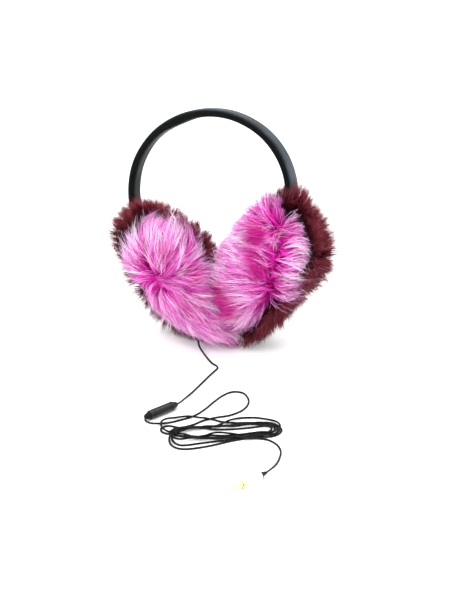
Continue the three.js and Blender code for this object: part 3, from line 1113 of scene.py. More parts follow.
@dataclass(frozen=True)
class CordFittings:
    """The sleeve, the inline remote and the plug: turned pieces in rows along the cord."""

    gap: float = 0.3
    sleeve_base: Place = (-24.8, -11.9, 15.0)
    sleeve_aim: Place = (0.33, -0.75, -0.58)
    sleeve_length: float = 16.0
    remote_start: tuple[float, float] = (4.5, -133.9)
    remote_aim: Place = (-16.0, -29.5, 0.0)
    remote_wide: float = 7.6
    remote_body: float = 24.0
    remote_relief: float = 4.4
    plug_start: tuple[float, float] = (104.7, -209.4)
    plug_aim: Place = (-17.0, -33.0, 0.0)
    plug_wide: float = 6.8
    neck: float = 2.3
    pin_wide: float = 3.5

    def sleeve(self, palette: Palette) -> Thing:
        """A soft tapered sleeve with three shallow flexing grooves.

        Args:
            palette: The materials.

        Returns:
            The sleeve.
        """
        wide, straight, taper = 1.7, 5.6, 10.4
        rows = rounded(wide, straight, 0.3)
        for groove in (7.2, 9.6, 12.0):
            width = wide - 0.5 * (groove - straight) / taper
            rows += [(width, groove - 0.5), (width - 0.22, groove - 0.25),
                     (width - 0.22, groove + 0.25), (width - 0.03, groove + 0.5)]
        rows += [(1.22, 15.6), (1.05, self.sleeve_length)]
        profile = Profile("cord_sleeve", "cord_rubber", rows, [palette.rubber])
        return self.row([profile], self.sleeve_base, self.sleeve_aim)[0]

    def row(self, profiles: list[Profile], start: Place, aim: Place) -> list[Thing]:
        """Turns pieces one after another along an axis, each a gap from the last.

        Args:
            profiles: The pieces in order.
            start: Where the first one starts.
            aim: The axis.

        Returns:
            The new objects.
        """
        place, axis, made = np.array(start), unit(np.array(aim)), []
        for profile in profiles:
            piece = turned(f"{profile.node}_turned", profile.rows, place, axis,
                           profile.materials, profile.dark_rows)
            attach(piece, BODY)
            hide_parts(profile.node)
            made.append(piece)
            place = place + axis * (profile.rows[-1][1] + self.gap)
        return made

    def remote(self, palette: Palette) -> list[Thing]:
        """The remote's barrel, with a parting ring near each end, and its two tapered reliefs.

        Args:
            palette: The materials.

        Returns:
            The three pieces.
        """
        half, wide, long = 0.5 * self.remote_wide, self.remote_wide, self.remote_relief
        barrel = rounded(half, self.remote_body, 0.6)
        for ring in (self.remote_body - 3.4, 3.4):
            barrel[ROUND_STEPS:ROUND_STEPS] = [
                (half, ring - 0.3), (half - 0.28, ring - 0.2), (half - 0.28, ring + 0.2),
                (half, ring + 0.3)]
        into = [(self.neck / 2 + 0.15, 0.0), (0.3 * wide, 1.5), (0.36 * wide, long - 1.2),
                (0.4 * wide, long - 0.4), (0.42 * wide - 0.15, long)]
        out = [(radius, long - along) for radius, along in reversed(into)]
        return self.row([Profile("remote_relief_in", "cord_rubber", into, [palette.rubber]),
                         Profile("remote_body", "remote_plastic", barrel, [palette.remote]),
                         Profile("remote_relief_out", "cord_rubber", out, [palette.rubber])],
                        (*self.remote_start, half), self.remote_aim)

    def plug(self, palette: Palette) -> list[Thing]:
        """The plug's relief, pale barrel, gold collar, and pin with three insulating rings.

        Args:
            palette: The materials.

        Returns:
            The four pieces.
        """
        half, pin = 0.5 * self.plug_wide, 0.5 * self.pin_wide
        relief = [(self.neck / 2, 0.0), (1.5, 2.0), (2.1, 4.2), (2.6, 5.8), (2.45, 6.0)]
        barrel = rounded(half, 16.0, 0.5)
        barrel[ROUND_STEPS:ROUND_STEPS] = [(half, 2.2), (half - 0.2, 2.35), (half - 0.2, 2.75),
                                           (half, 2.9)]
        collar = [(half - 0.12, 0.0), (half, 0.15), (half, 1.3), (half - 0.2, 1.65),
                  (half - 0.5, 1.8)]
        rows = [(pin - 0.1, 0.0), (pin, 0.1)]
        rings = []
        for ring in (3.2, 6.4, 9.6):
            rings.append(len(rows) + 1)
            rows += [(pin, ring), (pin - 0.12, ring + 0.1), (pin - 0.12, ring + 0.7),
                     (pin, ring + 0.8)]
        rows += [(pin, 11.3), (0.66 * pin, 11.75), (0.64 * pin, 12.0), (0.82 * pin, 12.6),
                 (0.74 * pin, 13.1), (0.5 * pin, 13.6), (0.24 * pin, 13.9), (0.08 * pin, 14.0)]
        return self.row([Profile("plug_relief", "cord_rubber", relief, [palette.rubber]),
                         Profile("plug_barrel", "pale_plastic", barrel, [palette.pale]),
                         Profile("plug_collar", "plug_gold", collar, [palette.gold]),
                         Profile("plug_pin", "plug_gold", rows, [palette.gold, palette.pin_ring],
                                 tuple(rings))],
                        (*self.plug_start, half), self.plug_aim)


# ---- headband ----

@dataclass(frozen=True)
class Headband:
    """The padded leatherette strap, bent into an arch whose limbs run down into the fur.

    Turns are in radians: lean is backwards, roll sideways and yaw round the upright, and cone
    turns the outer face to the front. A seam runs down each side. The lining sags at sag_at,
    which is a middle and a half width in shares of half the band.
    """

    radius: float = 73.4
    rise: float = 68.3
    limb_radius: float = 130.0
    limb_turn: float = 0.36
    width: float = 15.6
    thick: float = 6.2
    puff: float = 0.4
    squareness: float = 4.6
    centre: Place = (-20.0, 10.5, 131.9)
    lean: float = 0.22
    roll: float = 0.17
    yaw: float = -0.05
    cone: float = 0.05
    along_steps: int = 220
    round_steps: int = 48
    laid_length: float = 280.0
    seam_in: float = 0.9
    seam_wide: float = 0.42
    seam_depth: float = 0.35
    stitch: float = 3.4
    pucker: float = 0.1
    pucker_wide: float = 1.2
    swell: float = 0.16
    swell_span: float = 26.0
    sag: float = 1.7
    sag_at: tuple[float, float] = (-0.15, 0.1)

    def path(self, share: Points) -> tuple[Points, Points]:
        """Half an ellipse over the top, then a gently inward limb on each side.

        The arch is radius times sine across and rise times cosine up; a limb is an arc of
        limb radius that starts straight down where the ellipse ends.

        Args:
            share: Place along the band, from -1 to 1.

        Returns:
            Centreline points and unit directions in the arch's own plane.
        """
        quarter = 0.25 * math.pi * (self.radius + self.rise)
        limb = self.limb_radius * self.limb_turn
        run = share * (quarter + limb)
        side = np.sign(run)
        turn = np.clip(np.abs(run) / quarter, 0, 1) * math.pi / 2
        bend = np.clip((np.abs(run) - quarter) / self.limb_radius, 0, self.limb_turn)
        x = side * (self.radius * np.sin(turn) - self.limb_radius * (1 - np.cos(bend)))
        z = self.rise * np.cos(turn) - self.limb_radius * np.sin(bend)
        points = np.stack([x, np.zeros_like(x), z], -1)
        return points, unit(np.gradient(points, axis=0))

    def place(self, points: Points) -> Points:
        """Rolls, leans and turns the arch and lifts it to its centre.

        Args:
            points: Places in the arch's own axes, (..., 3).

        Returns:
            Places in the shared frame.
        """
        cos, sin = math.cos, math.sin
        roll = np.array([(cos(-self.roll), 0, sin(-self.roll)), (0, 1, 0),
                         (-sin(-self.roll), 0, cos(-self.roll))])
        lean = np.array([(1, 0, 0), (0, cos(-self.lean), -sin(-self.lean)),
                         (0, sin(-self.lean), cos(-self.lean))])
        yaw = np.array([(cos(self.yaw), -sin(self.yaw), 0), (sin(self.yaw), cos(self.yaw), 0),
                        (0, 0, 1)])
        return points @ (yaw @ lean @ roll).T + np.array(self.centre)

    def section(self, angle: Points) -> tuple[Points, Points]:
        """A rounded rectangle with a seam groove down each side.

        Args:
            angle: Place round the section, 0 to 2 pi, from the front anticlockwise.

        Returns:
            Distances across the band and outwards from its middle.
        """
        half_w, half_t = 0.5 * self.width + self.puff, 0.5 * self.thick + self.puff
        power = self.squareness
        reach = (np.abs(np.cos(angle) / half_w) ** power
                 + np.abs(np.sin(angle) / half_t) ** power) ** (-1 / power)
        across, out = reach * np.cos(angle), reach * np.sin(angle)
        on_side = np.abs(across) > 0.7 * half_w
        groove = np.exp(-((out + self.seam_in) / self.seam_wide) ** 2) * on_side
        across = across - np.sign(across) * self.seam_depth * groove
        return across, out

    def relief(self, run: Points, across: Points, out: Points) -> Points:
        """Soft swells of the padding, and a sine's puckers that fade away from the seams.

        Args:
            run: Place along the band, (n, 1).
            across: Place across the section.
            out: Place outwards in the section.

        Returns:
            Height above the plain section, (n, points round).
        """
        places = np.stack(np.broadcast_arrays(run, 6 * across, 6 * out), -1)
        wave = self.pucker * np.sin(run * math.tau / self.stitch)
        pucker = wave * np.exp(-((out + self.seam_in) / self.pucker_wide) ** 2)
        return self.swell * ripple(places, self.swell_span, 5) + pucker

    def build(self, palette: Palette) -> Thing:
        """Sweeps the section along the path, lets the lining sag and closes both ends.

        Args:
            palette: The materials.

        Returns:
            The band.
        """
        share = np.linspace(-1, 1, self.along_steps)
        points, way = self.path(share)
        front = np.array([0.0, -1.0, 0.0])
        outward = np.cross(way, front)
        outward *= np.sign((outward * points).sum(-1).mean())
        tilted = math.cos(self.cone) * front - math.sin(self.cone) * outward
        outward = math.cos(self.cone) * outward + math.sin(self.cone) * front
        angle = np.linspace(0, math.tau, self.round_steps, endpoint=False)
        across, out = self.section(angle)
        ring = across[:, None] * tilted[:, None] + out[:, None] * outward[:, None]
        run = np.linspace(0, 1, self.along_steps)[:, None] * self.laid_length
        body = points[:, None, :] + ring
        body = body + self.relief(run, across, out)[..., None] * unit(ring)
        slack = self.sag * np.exp(-((share - self.sag_at[0]) / self.sag_at[1]) ** 2)
        inner = smoothstep(0.0, -0.5 * self.thick, out)
        body = body - (slack[:, None] * inner)[..., None] * outward[:, None]
        corners = self.place(np.vstack([body.reshape(-1, 3), points[[0, -1]]]))
        count = self.along_steps * self.round_steps
        quads = grid_faces(self.along_steps, self.round_steps)
        fans = np.vstack([fan_faces(count, np.arange(self.round_steps), False),
                          fan_faces(count + 1, np.arange(count - self.round_steps, count), True)])
        uvs = np.stack(np.broadcast_arrays(run / 10, 0.5 + out / (self.thick + 1)), -1)
        uvs = np.vstack([uvs.reshape(-1, 2), [[0, 0], [self.laid_length / 10, 0]]])
        band = make_mesh("headband_padded", corners, [quads, fans], [palette.leatherette],
                         uvs=uvs, sharp=60)
        turn_outwards(band)
        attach(band, BODY)
        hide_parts("headband")
        return band


# ---- fur ----

OVAL_POWER = 2.4
DOME_POWER = 0.9


@dataclass(frozen=True)
class Dome:
    """A tapered, lobed oval dome, in the muff's own axes, standing on the seam plane.

    X runs towards the top and Z out of the face. Each lobe has its number round the rim, its
    height as a share, and its turn, and each bump its angle, height and width in radians.
    Side is 1 for the face and -1 for the back.
    """

    long: float
    cross: float
    depth: float
    shift: tuple[float, float]
    taper: float
    lobes: tuple[tuple[int, float, float], ...]
    bumps: tuple[tuple[float, float, float], ...]
    side: int

    def inset(self, by: float, depth_by: float) -> "Dome":
        """The same dome drawn in by a distance at the rim and another at its top."""
        return replace(self, long=self.long - by, cross=self.cross - by,
                       depth=self.depth - depth_by)

    def reach(self, angle: Points) -> Points:
        """The rim's radius: a rounded oval, with cosine lobes and bell-shaped bumps.

        Args:
            angle: Place round the rim.

        Returns:
            The radius there.
        """
        oval = ((np.abs(np.cos(angle)) / self.long) ** OVAL_POWER
                + (np.abs(np.sin(angle)) / self.cross) ** OVAL_POWER) ** (-1 / OVAL_POWER)
        swell = 1 + sum(height * np.cos(count * angle + turn)
                        for count, height, turn in self.lobes)
        for at, height, width in self.bumps:
            off = (angle - at + math.pi) % math.tau - math.pi
            swell = swell + height * np.exp(-(off / width) ** 2)
        return oval * swell

    def surface(self, angle: Points, rise: Points) -> Points:
        """Points on the dome: reach times cosine to the 0.9 out, depth times sine to the 0.9 up.

        Args:
            angle: Place round the rim.
            rise: From 0 at the rim to half pi at the top, and below 0 past the rim.

        Returns:
            Points, (..., 3).
        """
        radius = self.reach(angle) * np.maximum(np.cos(rise), 0) ** DOME_POWER
        along = radius * np.cos(angle)
        across = radius * np.sin(angle) * (1 + self.taper * along / self.long)
        height = self.side * self.depth * np.sign(rise) * np.abs(np.sin(rise)) ** DOME_POWER
        return np.stack([along + self.shift[0], across + self.shift[1], height], -1)

    def level(self, points: Points) -> Points:
        """How far out points are, by the same powers as the surface has.

        Args:
            points: Places in the muff's axes, (..., 3).

        Returns:
            1 on the surface, less inside and more outside.
        """
        along = points[..., 0] - self.shift[0]
        stretch = np.maximum(1 + self.taper * along / self.long, 0.3)
        across = (points[..., 1] - self.shift[1]) / stretch
        share = np.hypot(along, across) / self.reach(np.arctan2(across, along))
        power = 2 / DOME_POWER
        return share ** power + np.abs(points[..., 2] / self.depth) ** power

    def outward(self, points: Points) -> Points:
        """The way in which level rises fastest, from small differences.

        Args:
            points: Places in the muff's axes, (..., 3).

        Returns:
            Unit directions.
        """
        step = 0.5 * np.eye(3)
        rise = [self.level(points + row) - self.level(points - row) for row in step]
        return unit(np.stack(rise, -1))


@dataclass(frozen=True)
class Spot:
    """A soft round place on a muff, in its own axes, where the hair differs by an amount."""

    at: Place
    radius: float
    amount: float = 1.0

    @staticmethod
    def total(spots: tuple["Spot", ...], points: Points) -> Points:
        """Adds up the spots: amount times a bell curve of the distance over the radius.

        Args:
            spots: The spots.
            points: Where to read them, (..., 3).

        Returns:
            The sum at each point.
        """
        sums = np.zeros(points.shape[:-1])
        for spot in spots:
            gap = ((points - np.array(spot.at)) ** 2).sum(-1)
            sums += spot.amount * np.exp(-gap / spot.radius ** 2)
        return sums


def spots(*rows: tuple[float, float, float, float, float]) -> tuple[Spot, ...]:
    """Makes spots from rows of x, y, z, radius and amount."""
    return tuple(Spot(row[:3], *row[3:]) for row in rows)


@dataclass(frozen=True)
class Sweep:
    """A soft round place where the hair is brushed a certain way, in the muff's own axes."""

    spot: Spot
    way: Place


@dataclass(frozen=True)
class Growth:
    """How one kind of hair grows, in millimetres and degrees.

    Hairs lie in locks and tufts and gather towards their tips. Lift is how steeply a hair
    stands, and swirl how far it turns off its way. Roots go past_rim radians below the rim.
    The outer dome presses hair down between the levels of soft_wall. Crown thinning is the
    share that is left out on top, where other hair covers it.
    """

    strands: int
    locks: int
    tufts: int
    length: tuple[float, float]
    rim_length: float
    lift_root: float
    lift_tip: float
    gather: float
    tuft_gather: float
    root_width: float
    tip_width: float
    frizz: float
    stray_share: float
    swirl: float = 22.0
    rings: int = 4
    past_rim: float = 0.0
    soft_wall: tuple[float, float] = (0.72, 1.02)
    crown_thinning: float = 0.0


@dataclass(frozen=True)
class Muff:
    """One muff: where it sits, its two outer domes, and how its hair lies.

    Reach says where hair is longer or shorter, by what share, and tones where it is paler or
    deeper. At the collar, back hair grows past the rim round the headband.
    """

    name: str
    centre: Place
    faces: Place
    top: Place
    face: Dome
    back: Dome
    parting: tuple[Place, ...]
    face_reach: tuple[Spot, ...]
    back_reach: tuple[Spot, ...]
    tones: tuple[Spot, ...]
    collar: Spot
    sweeps: tuple[Sweep, ...]
    seed: int

    def axes(self) -> Points:
        """The muff's own axes.

        Returns:
            X, Y and Z as rows.
        """
        out = unit(np.array(self.faces, dtype=float))
        across = unit(np.cross(out, np.array(self.top, dtype=float)))
        return np.stack([np.cross(across, out), across, out])

    def to_room(self, points: Points) -> Points:
        """From the muff's own axes to the shared frame."""
        return points @ self.axes() + np.array(self.centre)

    def from_room(self, points: Points) -> Points:
        """From the shared frame to the muff's own axes."""
        return (points - np.array(self.centre)) @ self.axes().T

    def inside(self, room_points: Points, margin: float) -> Points:
        """Whether points lie inside either outer dome.

        Args:
            room_points: Places in the shared frame, (..., 3).
            margin: The level that counts as the surface.

        Returns:
            True or false for each.
        """
        local = self.from_room(room_points)
        in_face = (local[..., 2] >= 0) & (self.face.level(local) < margin)
        in_back = (local[..., 2] < 0) & (self.back.level(local) < margin)
        return in_face | in_back


class Coat:
    """Grows one kind of hair on one dome of a muff."""

    ROOT_HEIGHT = 1.5  # least, over the floor
    HAIR_HEIGHT = (0.35, 0.4)  # least, and what chance adds
    COLLAR_DROP = 0.9  # how far below the rim roots go at the headband, in radians
    CROWN = (0.25, 0.9)  # rise over which its thinning sets in, in radians
    NEIGHBOUR = {1: 0.75, -1: 1.1}  # the other muff's level that roots of each side keep out of
    READ_OUT = 9  # how far above its root a hair reads its reach
    SWIRL_SPAN = 45.0  # distance over which the swirl changes
    STRAY_NEAR, STRAY = 8, 0.65  # how near the parting hair starts at random, and how much
    LIFT = (-15, 85)  # least and most, in degrees
    SLOW = (1.1, 1.5, 0.65)  # levels over which paths outside the dome slow, and by what share
    SEAM_NEAR, SEAM_HOLD = 9, 0.75  # height where paths stop falling to the seam, and the share
    TUFT_SPREAD, WAVE = 1.6, 0.12  # how far tufts leave their lock, and hairs waver

    def __init__(self, muff: Muff, skin: Dome, outer: Dome, growth: Growth, parting: Points,
                 reach: tuple[Spot, ...], seed: int, avoid: Muff) -> None:
        """Keeps what the hair grows on.

        Args:
            muff: The muff it belongs to.
            skin: The dome that roots sit on.
            outer: The dome that tips stay within.
            growth: The hair's habit.
            parting: Points of the line that it falls away from, in the muff's axes.
            reach: Where the hair is longer or shorter, and by what share.
            seed: Fixes every chance.
            avoid: A muff whose inside is left bare.
        """
        self.muff, self.skin, self.outer, self.growth = muff, skin, outer, growth
        self.parting, self.reach, self.avoid = parting, reach, avoid
        self.sweeps = muff.sweeps if skin.side > 0 else ()
        self.rng = np.random.default_rng(seed)
        self.seed = seed

    def scatter(self, count: int) -> Points:
        """Even random points on the skin: angle and rise drawn by the area that they cover.

        Args:
            count: How many points.

        Returns:
            Points in the muff's axes, fewer on a thinned crown, and none below the floor,
            inside a neighbour or, away from the collar, far past the rim.
        """
        kept: list[Points] = []
        past, thinning = self.growth.past_rim, self.growth.crown_thinning
        total = 0
        while total < count:
            angle = self.rng.uniform(0, math.tau, 4 * count)
            lowest = past + self.COLLAR_DROP * (past > 0)
            rise = self.rng.uniform(-lowest, math.pi / 2, 4 * count)
            here = self.skin.surface(angle, rise)
            collar = np.linalg.norm(here - np.array(self.muff.collar.at), axis=-1)
            turned_by = self.skin.surface(angle + 0.01, rise) - here
            raised_by = self.skin.surface(angle, np.minimum(rise + 0.01, math.pi / 2)) - here
            area = np.linalg.norm(np.cross(turned_by, raised_by), axis=-1)
            pick = self.rng.uniform(0, np.quantile(area, 0.98), len(area)) < area
            room = self.muff.to_room(here)
            pick &= room[:, 2] > self.ROOT_HEIGHT
            pick &= self.rng.random(len(rise)) > thinning * smoothstep(*self.CROWN, rise)
            pick &= (rise > -past) | (collar < self.muff.collar.radius)
            pick &= ~self.avoid.inside(room, self.NEIGHBOUR[self.skin.side])
            kept.append(here[pick])
            total += int(pick.sum())
        return np.vstack(kept)[:count]

    def spaced(self, count: int) -> Points:
        """Points spread evenly: each next one is the candidate farthest from those chosen.

        Args:
            count: How many points.

        Returns:
            Points in the muff's axes, (count, 3).
        """
        pool = self.scatter(6 * count)
        nearest = np.full(len(pool), np.inf)
        chosen = np.zeros(count, dtype=int)
        for place in range(1, count):
            step = np.linalg.norm(pool - pool[chosen[place - 1]], axis=1)
            nearest = np.minimum(nearest, step)
            chosen[place] = int(nearest.argmax())
        return pool[chosen]

    def away(self, points: Points) -> Points:
        """The step to each point from the nearest point of the parting line.

        Args:
            points: Places in the muff's axes, (n, 3).

        Returns:
            The steps, (n, 3).
        """
        best = np.full(len(points), np.inf)
        away = np.zeros_like(points)
        ends = self.parting if len(self.parting) > 1 else np.vstack([self.parting] * 2)
        for first, second in zip(ends[:-1], ends[1:]):
            run = second - first
            share = ((points - first) @ run) / max(float(run @ run), 1e-9)
            offset = points - first - np.clip(share, 0, 1)[:, None] * run
            gap = np.linalg.norm(offset, axis=1)
            closer = gap < best
            best = np.where(closer, gap, best)
            away = np.where(closer[:, None], offset, away)
        return away

    def flow(self, here: Points, normal: Points, wander: Points) -> Points:
        """Which way hair lies: off the parting, at random close to it, and as brushed.

        Args:
            here: Places in the muff's axes, (n, 3).
            normal: The outer dome's outward direction there.
            wander: Each path's own random direction.

        Returns:
            Unit directions along the dome.
        """
        flow = self.away(here)
        gap = np.linalg.norm(flow, axis=-1, keepdims=True)
        stray = np.exp(-(gap / self.STRAY_NEAR) ** 2)
        flow = unit(flow) + self.STRAY * stray * wander
        for sweep in self.sweeps:
            flow = flow + Spot.total((sweep.spot,), here)[:, None] * np.array(sweep.way)
        return unit(flow - (flow * normal).sum(-1, keepdims=True) * normal)

    def comb(self, roots: Points, steps: int = 12) -> Points:
        """Grows a path from each root, over the dome and away from the parting.

        Each step goes along the surface, turned by the swirl, with a lift that falls from root
        to tip. The lift dies out as the path nears the outer dome, and steps past the dome
        shorten. Near the seam the path is kept from running round to the other side.

        Args:
            roots: Where the paths start.
            steps: Steps in each path.

        Returns:
            Paths, (n, steps + 1, 3).
        """
        habit, count, side = self.growth, len(roots), self.skin.side
        up = np.abs(roots[:, 2]) / self.skin.depth
        longest = self.rng.uniform(*habit.length, count)
        length = habit.rim_length + (longest - habit.rim_length) * smoothstep(0.0, 0.6, up)
        read_at = roots + self.READ_OUT * self.outer.outward(roots)
        length = length * (1 + Spot.total(self.reach, read_at))
        swirl = np.radians(habit.swirl) * ripple(roots, self.SWIRL_SPAN, self.seed + 1)
        swirl += np.radians(0.5 * habit.swirl) * self.rng.normal(size=count)
        more = 1 + 0.25 * self.rng.normal(size=count)
        wander = self.rng.normal(size=(count, 3))
        bend = np.radians(habit.swirl) * self.rng.normal(size=count)
        slow_from, slow_to, slow_by = self.SLOW
        paths = [roots]
        here = roots
        for step in range(steps):
            share = step / steps
            normal = self.outer.outward(here)
            flow = self.flow(here, normal, wander)
            turn = (swirl + bend * share)[:, None]
            flow = flow * np.cos(turn) + np.cross(normal, flow) * np.sin(turn)
            level = self.outer.level(here) / (1 + Spot.total(self.reach, here)) ** 2
            room = 1 - smoothstep(*habit.soft_wall, level)
            lift = habit.lift_root * (1 - share) ** 1.4 + habit.lift_tip * share
            lift = np.radians(np.clip(lift * more * room, *self.LIFT))
            lift = lift - 0.6 * np.clip(level - 1.0, 0, 1)
            way = flow * np.cos(lift)[:, None] + normal * np.sin(lift)[:, None]
            pace = 1 - slow_by * smoothstep(slow_from, slow_to, level)
            low = 1 - smoothstep(0, self.SEAM_NEAR, side * here[:, 2])
            way[:, 2] *= 1 - self.SEAM_HOLD * (side * way[:, 2] < 0) * low
            here = here + unit(way) * (pace * length / steps)[:, None]
            paths.append(here)
        return np.stack(paths, axis=1)

    @staticmethod
    def nearest(points: Points, targets: Points) -> Points:
        """Finds each point's nearest target, in batches to save memory.

        Args:
            points: Places, (n, 3).
            targets: Other places, (m, 3).

        Returns:
            The targets' numbers, (n,).
        """
        return np.concatenate([np.linalg.norm(part[:, None] - targets, axis=-1).argmin(1)
                               for part in np.array_split(points, 12)])

    @staticmethod
    def read_paths(paths: Points, which: Points, share: Points) -> Points:
        """Places along paths, straight between their points.

        Args:
            paths: The paths, (m, steps + 1, 3).
            which: Each hair's path, (n,).
            share: Shares of its length, (n, rings + 1), which may pass 1.

        Returns:
            Places, (n, rings + 1, 3).
        """
        last = paths.shape[1] - 1
        spot = share * last
        low = np.clip(np.floor(spot).astype(int), 0, last - 1)
        part = (spot - low)[..., None]
        which = which[:, None]
        return paths[which, low] * (1 - part) + paths[which, low + 1] * part

    def strands(self) -> tuple[Points, Points]:
        """Fills the locks with hairs.

        A hair is its lock's path, moved by its tuft's place in the lock and its own place in the
        tuft. Both moves shrink from root to tip, and frizz grows.

        Returns:
            Hair paths (n, rings + 1, 3) in the shared frame, and each hair's chance and its
            lock's chance, (n, 2).
        """
        habit, rng = self.growth, self.rng
        lock_roots = self.spaced(habit.locks)
        lock_paths = self.comb(lock_roots)
        tuft_roots = self.scatter(habit.tufts)
        lock_of = self.nearest(tuft_roots, lock_roots)
        tuft_move = rng.normal(size=tuft_roots.shape) * self.TUFT_SPREAD
        roots = self.scatter(habit.strands)
        tuft = self.nearest(roots, tuft_roots)
        lock = lock_of[tuft]
        stray = rng.random(len(roots)) < habit.stray_share
        scale = np.where(stray, rng.uniform(0.6, 1.2, len(roots)),
                         rng.uniform(0.72, 1.06, len(roots)))
        share = np.linspace(0, 1, habit.rings + 1)
        along = share[None, :, None]
        held = np.where(stray, 0.1, 1.0)[:, None, None]
        wild = np.where(stray, 3.0, 1.0)[:, None, None] * habit.frizz
        tuft_off = (tuft_roots[tuft] - lock_roots[lock])[:, None]
        own_off = (roots - tuft_roots[tuft])[:, None]
        paths = self.read_paths(lock_paths, lock, share * scale[:, None])
        paths += tuft_off * (1 - habit.gather * held * along)
        paths += own_off * (1 - habit.tuft_gather * held * along ** 0.8)
        paths += tuft_move[tuft][:, None] * along * held
        paths += rng.normal(size=(len(roots), 1, 3)) * wild * along ** 1.5
        paths += rng.normal(size=paths.shape) * self.WAVE * along
        room = self.muff.to_room(paths)
        least, more = self.HAIR_HEIGHT
        room[..., 2] = np.maximum(room[..., 2], least + more * rng.random((len(roots), 1)))
        lock_chance, tuft_chance = rng.random(habit.locks), rng.random(habit.tufts)
        mixed = np.clip(0.55 * lock_chance[lock] + 0.45 * tuft_chance[tuft], 0, 1)
        return room, np.stack([rng.random(len(roots)), mixed], -1)

    def build(self, name: str, material: Material) -> Thing:
        """Makes every hair a closed three-sided tapered body that ends in a point.

        Args:
            name: The object's name.
            material: The hair's material.

        Returns:
            The object.
        """
        habit = self.growth
        paths, chance = self.strands()
        count, rings = len(paths), habit.rings
        way = unit(np.gradient(paths, axis=1))[:, :rings]
        guess = unit(self.rng.normal(size=(count, 1, 3)))
        side = unit(np.cross(way, guess))
        up = np.cross(way, side)
        share = np.linspace(0, 1, rings + 1)[:rings]
        width = habit.root_width + (habit.tip_width - habit.root_width) * share ** 1.3
        width = 0.5 * width * self.rng.uniform(0.75, 1.25, (count, 1))
        angle = np.arange(3) * math.tau / 3
        ring = (np.cos(angle)[:, None] * side[:, :, None]
                + np.sin(angle)[:, None] * up[:, :, None])
        body = paths[:, :rings, None] + width[..., None, None] * ring
        points = np.concatenate([body.reshape(count, rings * 3, 3), paths[:, rings:]], axis=1)
        each = rings * 3 + 1
        quads = grid_faces(rings, 3)
        last = np.arange(3) + 3 * (rings - 1)
        tris = np.vstack([[[2, 1, 0]], fan_faces(each - 1, last, True)])
        start = (np.arange(count) * each)[:, None, None]
        shades = np.empty((count, each, 4))
        shades[..., 0] = np.r_[np.repeat(share, 3), 1.0]
        shades[..., 1:3] = chance[:, None]
        shades[..., 3] = 1.0 + Spot.total(self.muff.tones, self.muff.from_room(points))
        faces = [(quads[None] + start).reshape(-1, 4), (tris[None] + start).reshape(-1, 3)]
        return make_mesh(name, points.reshape(-1, 3), faces, [material],
                         shades=shades.reshape(-1, 4))


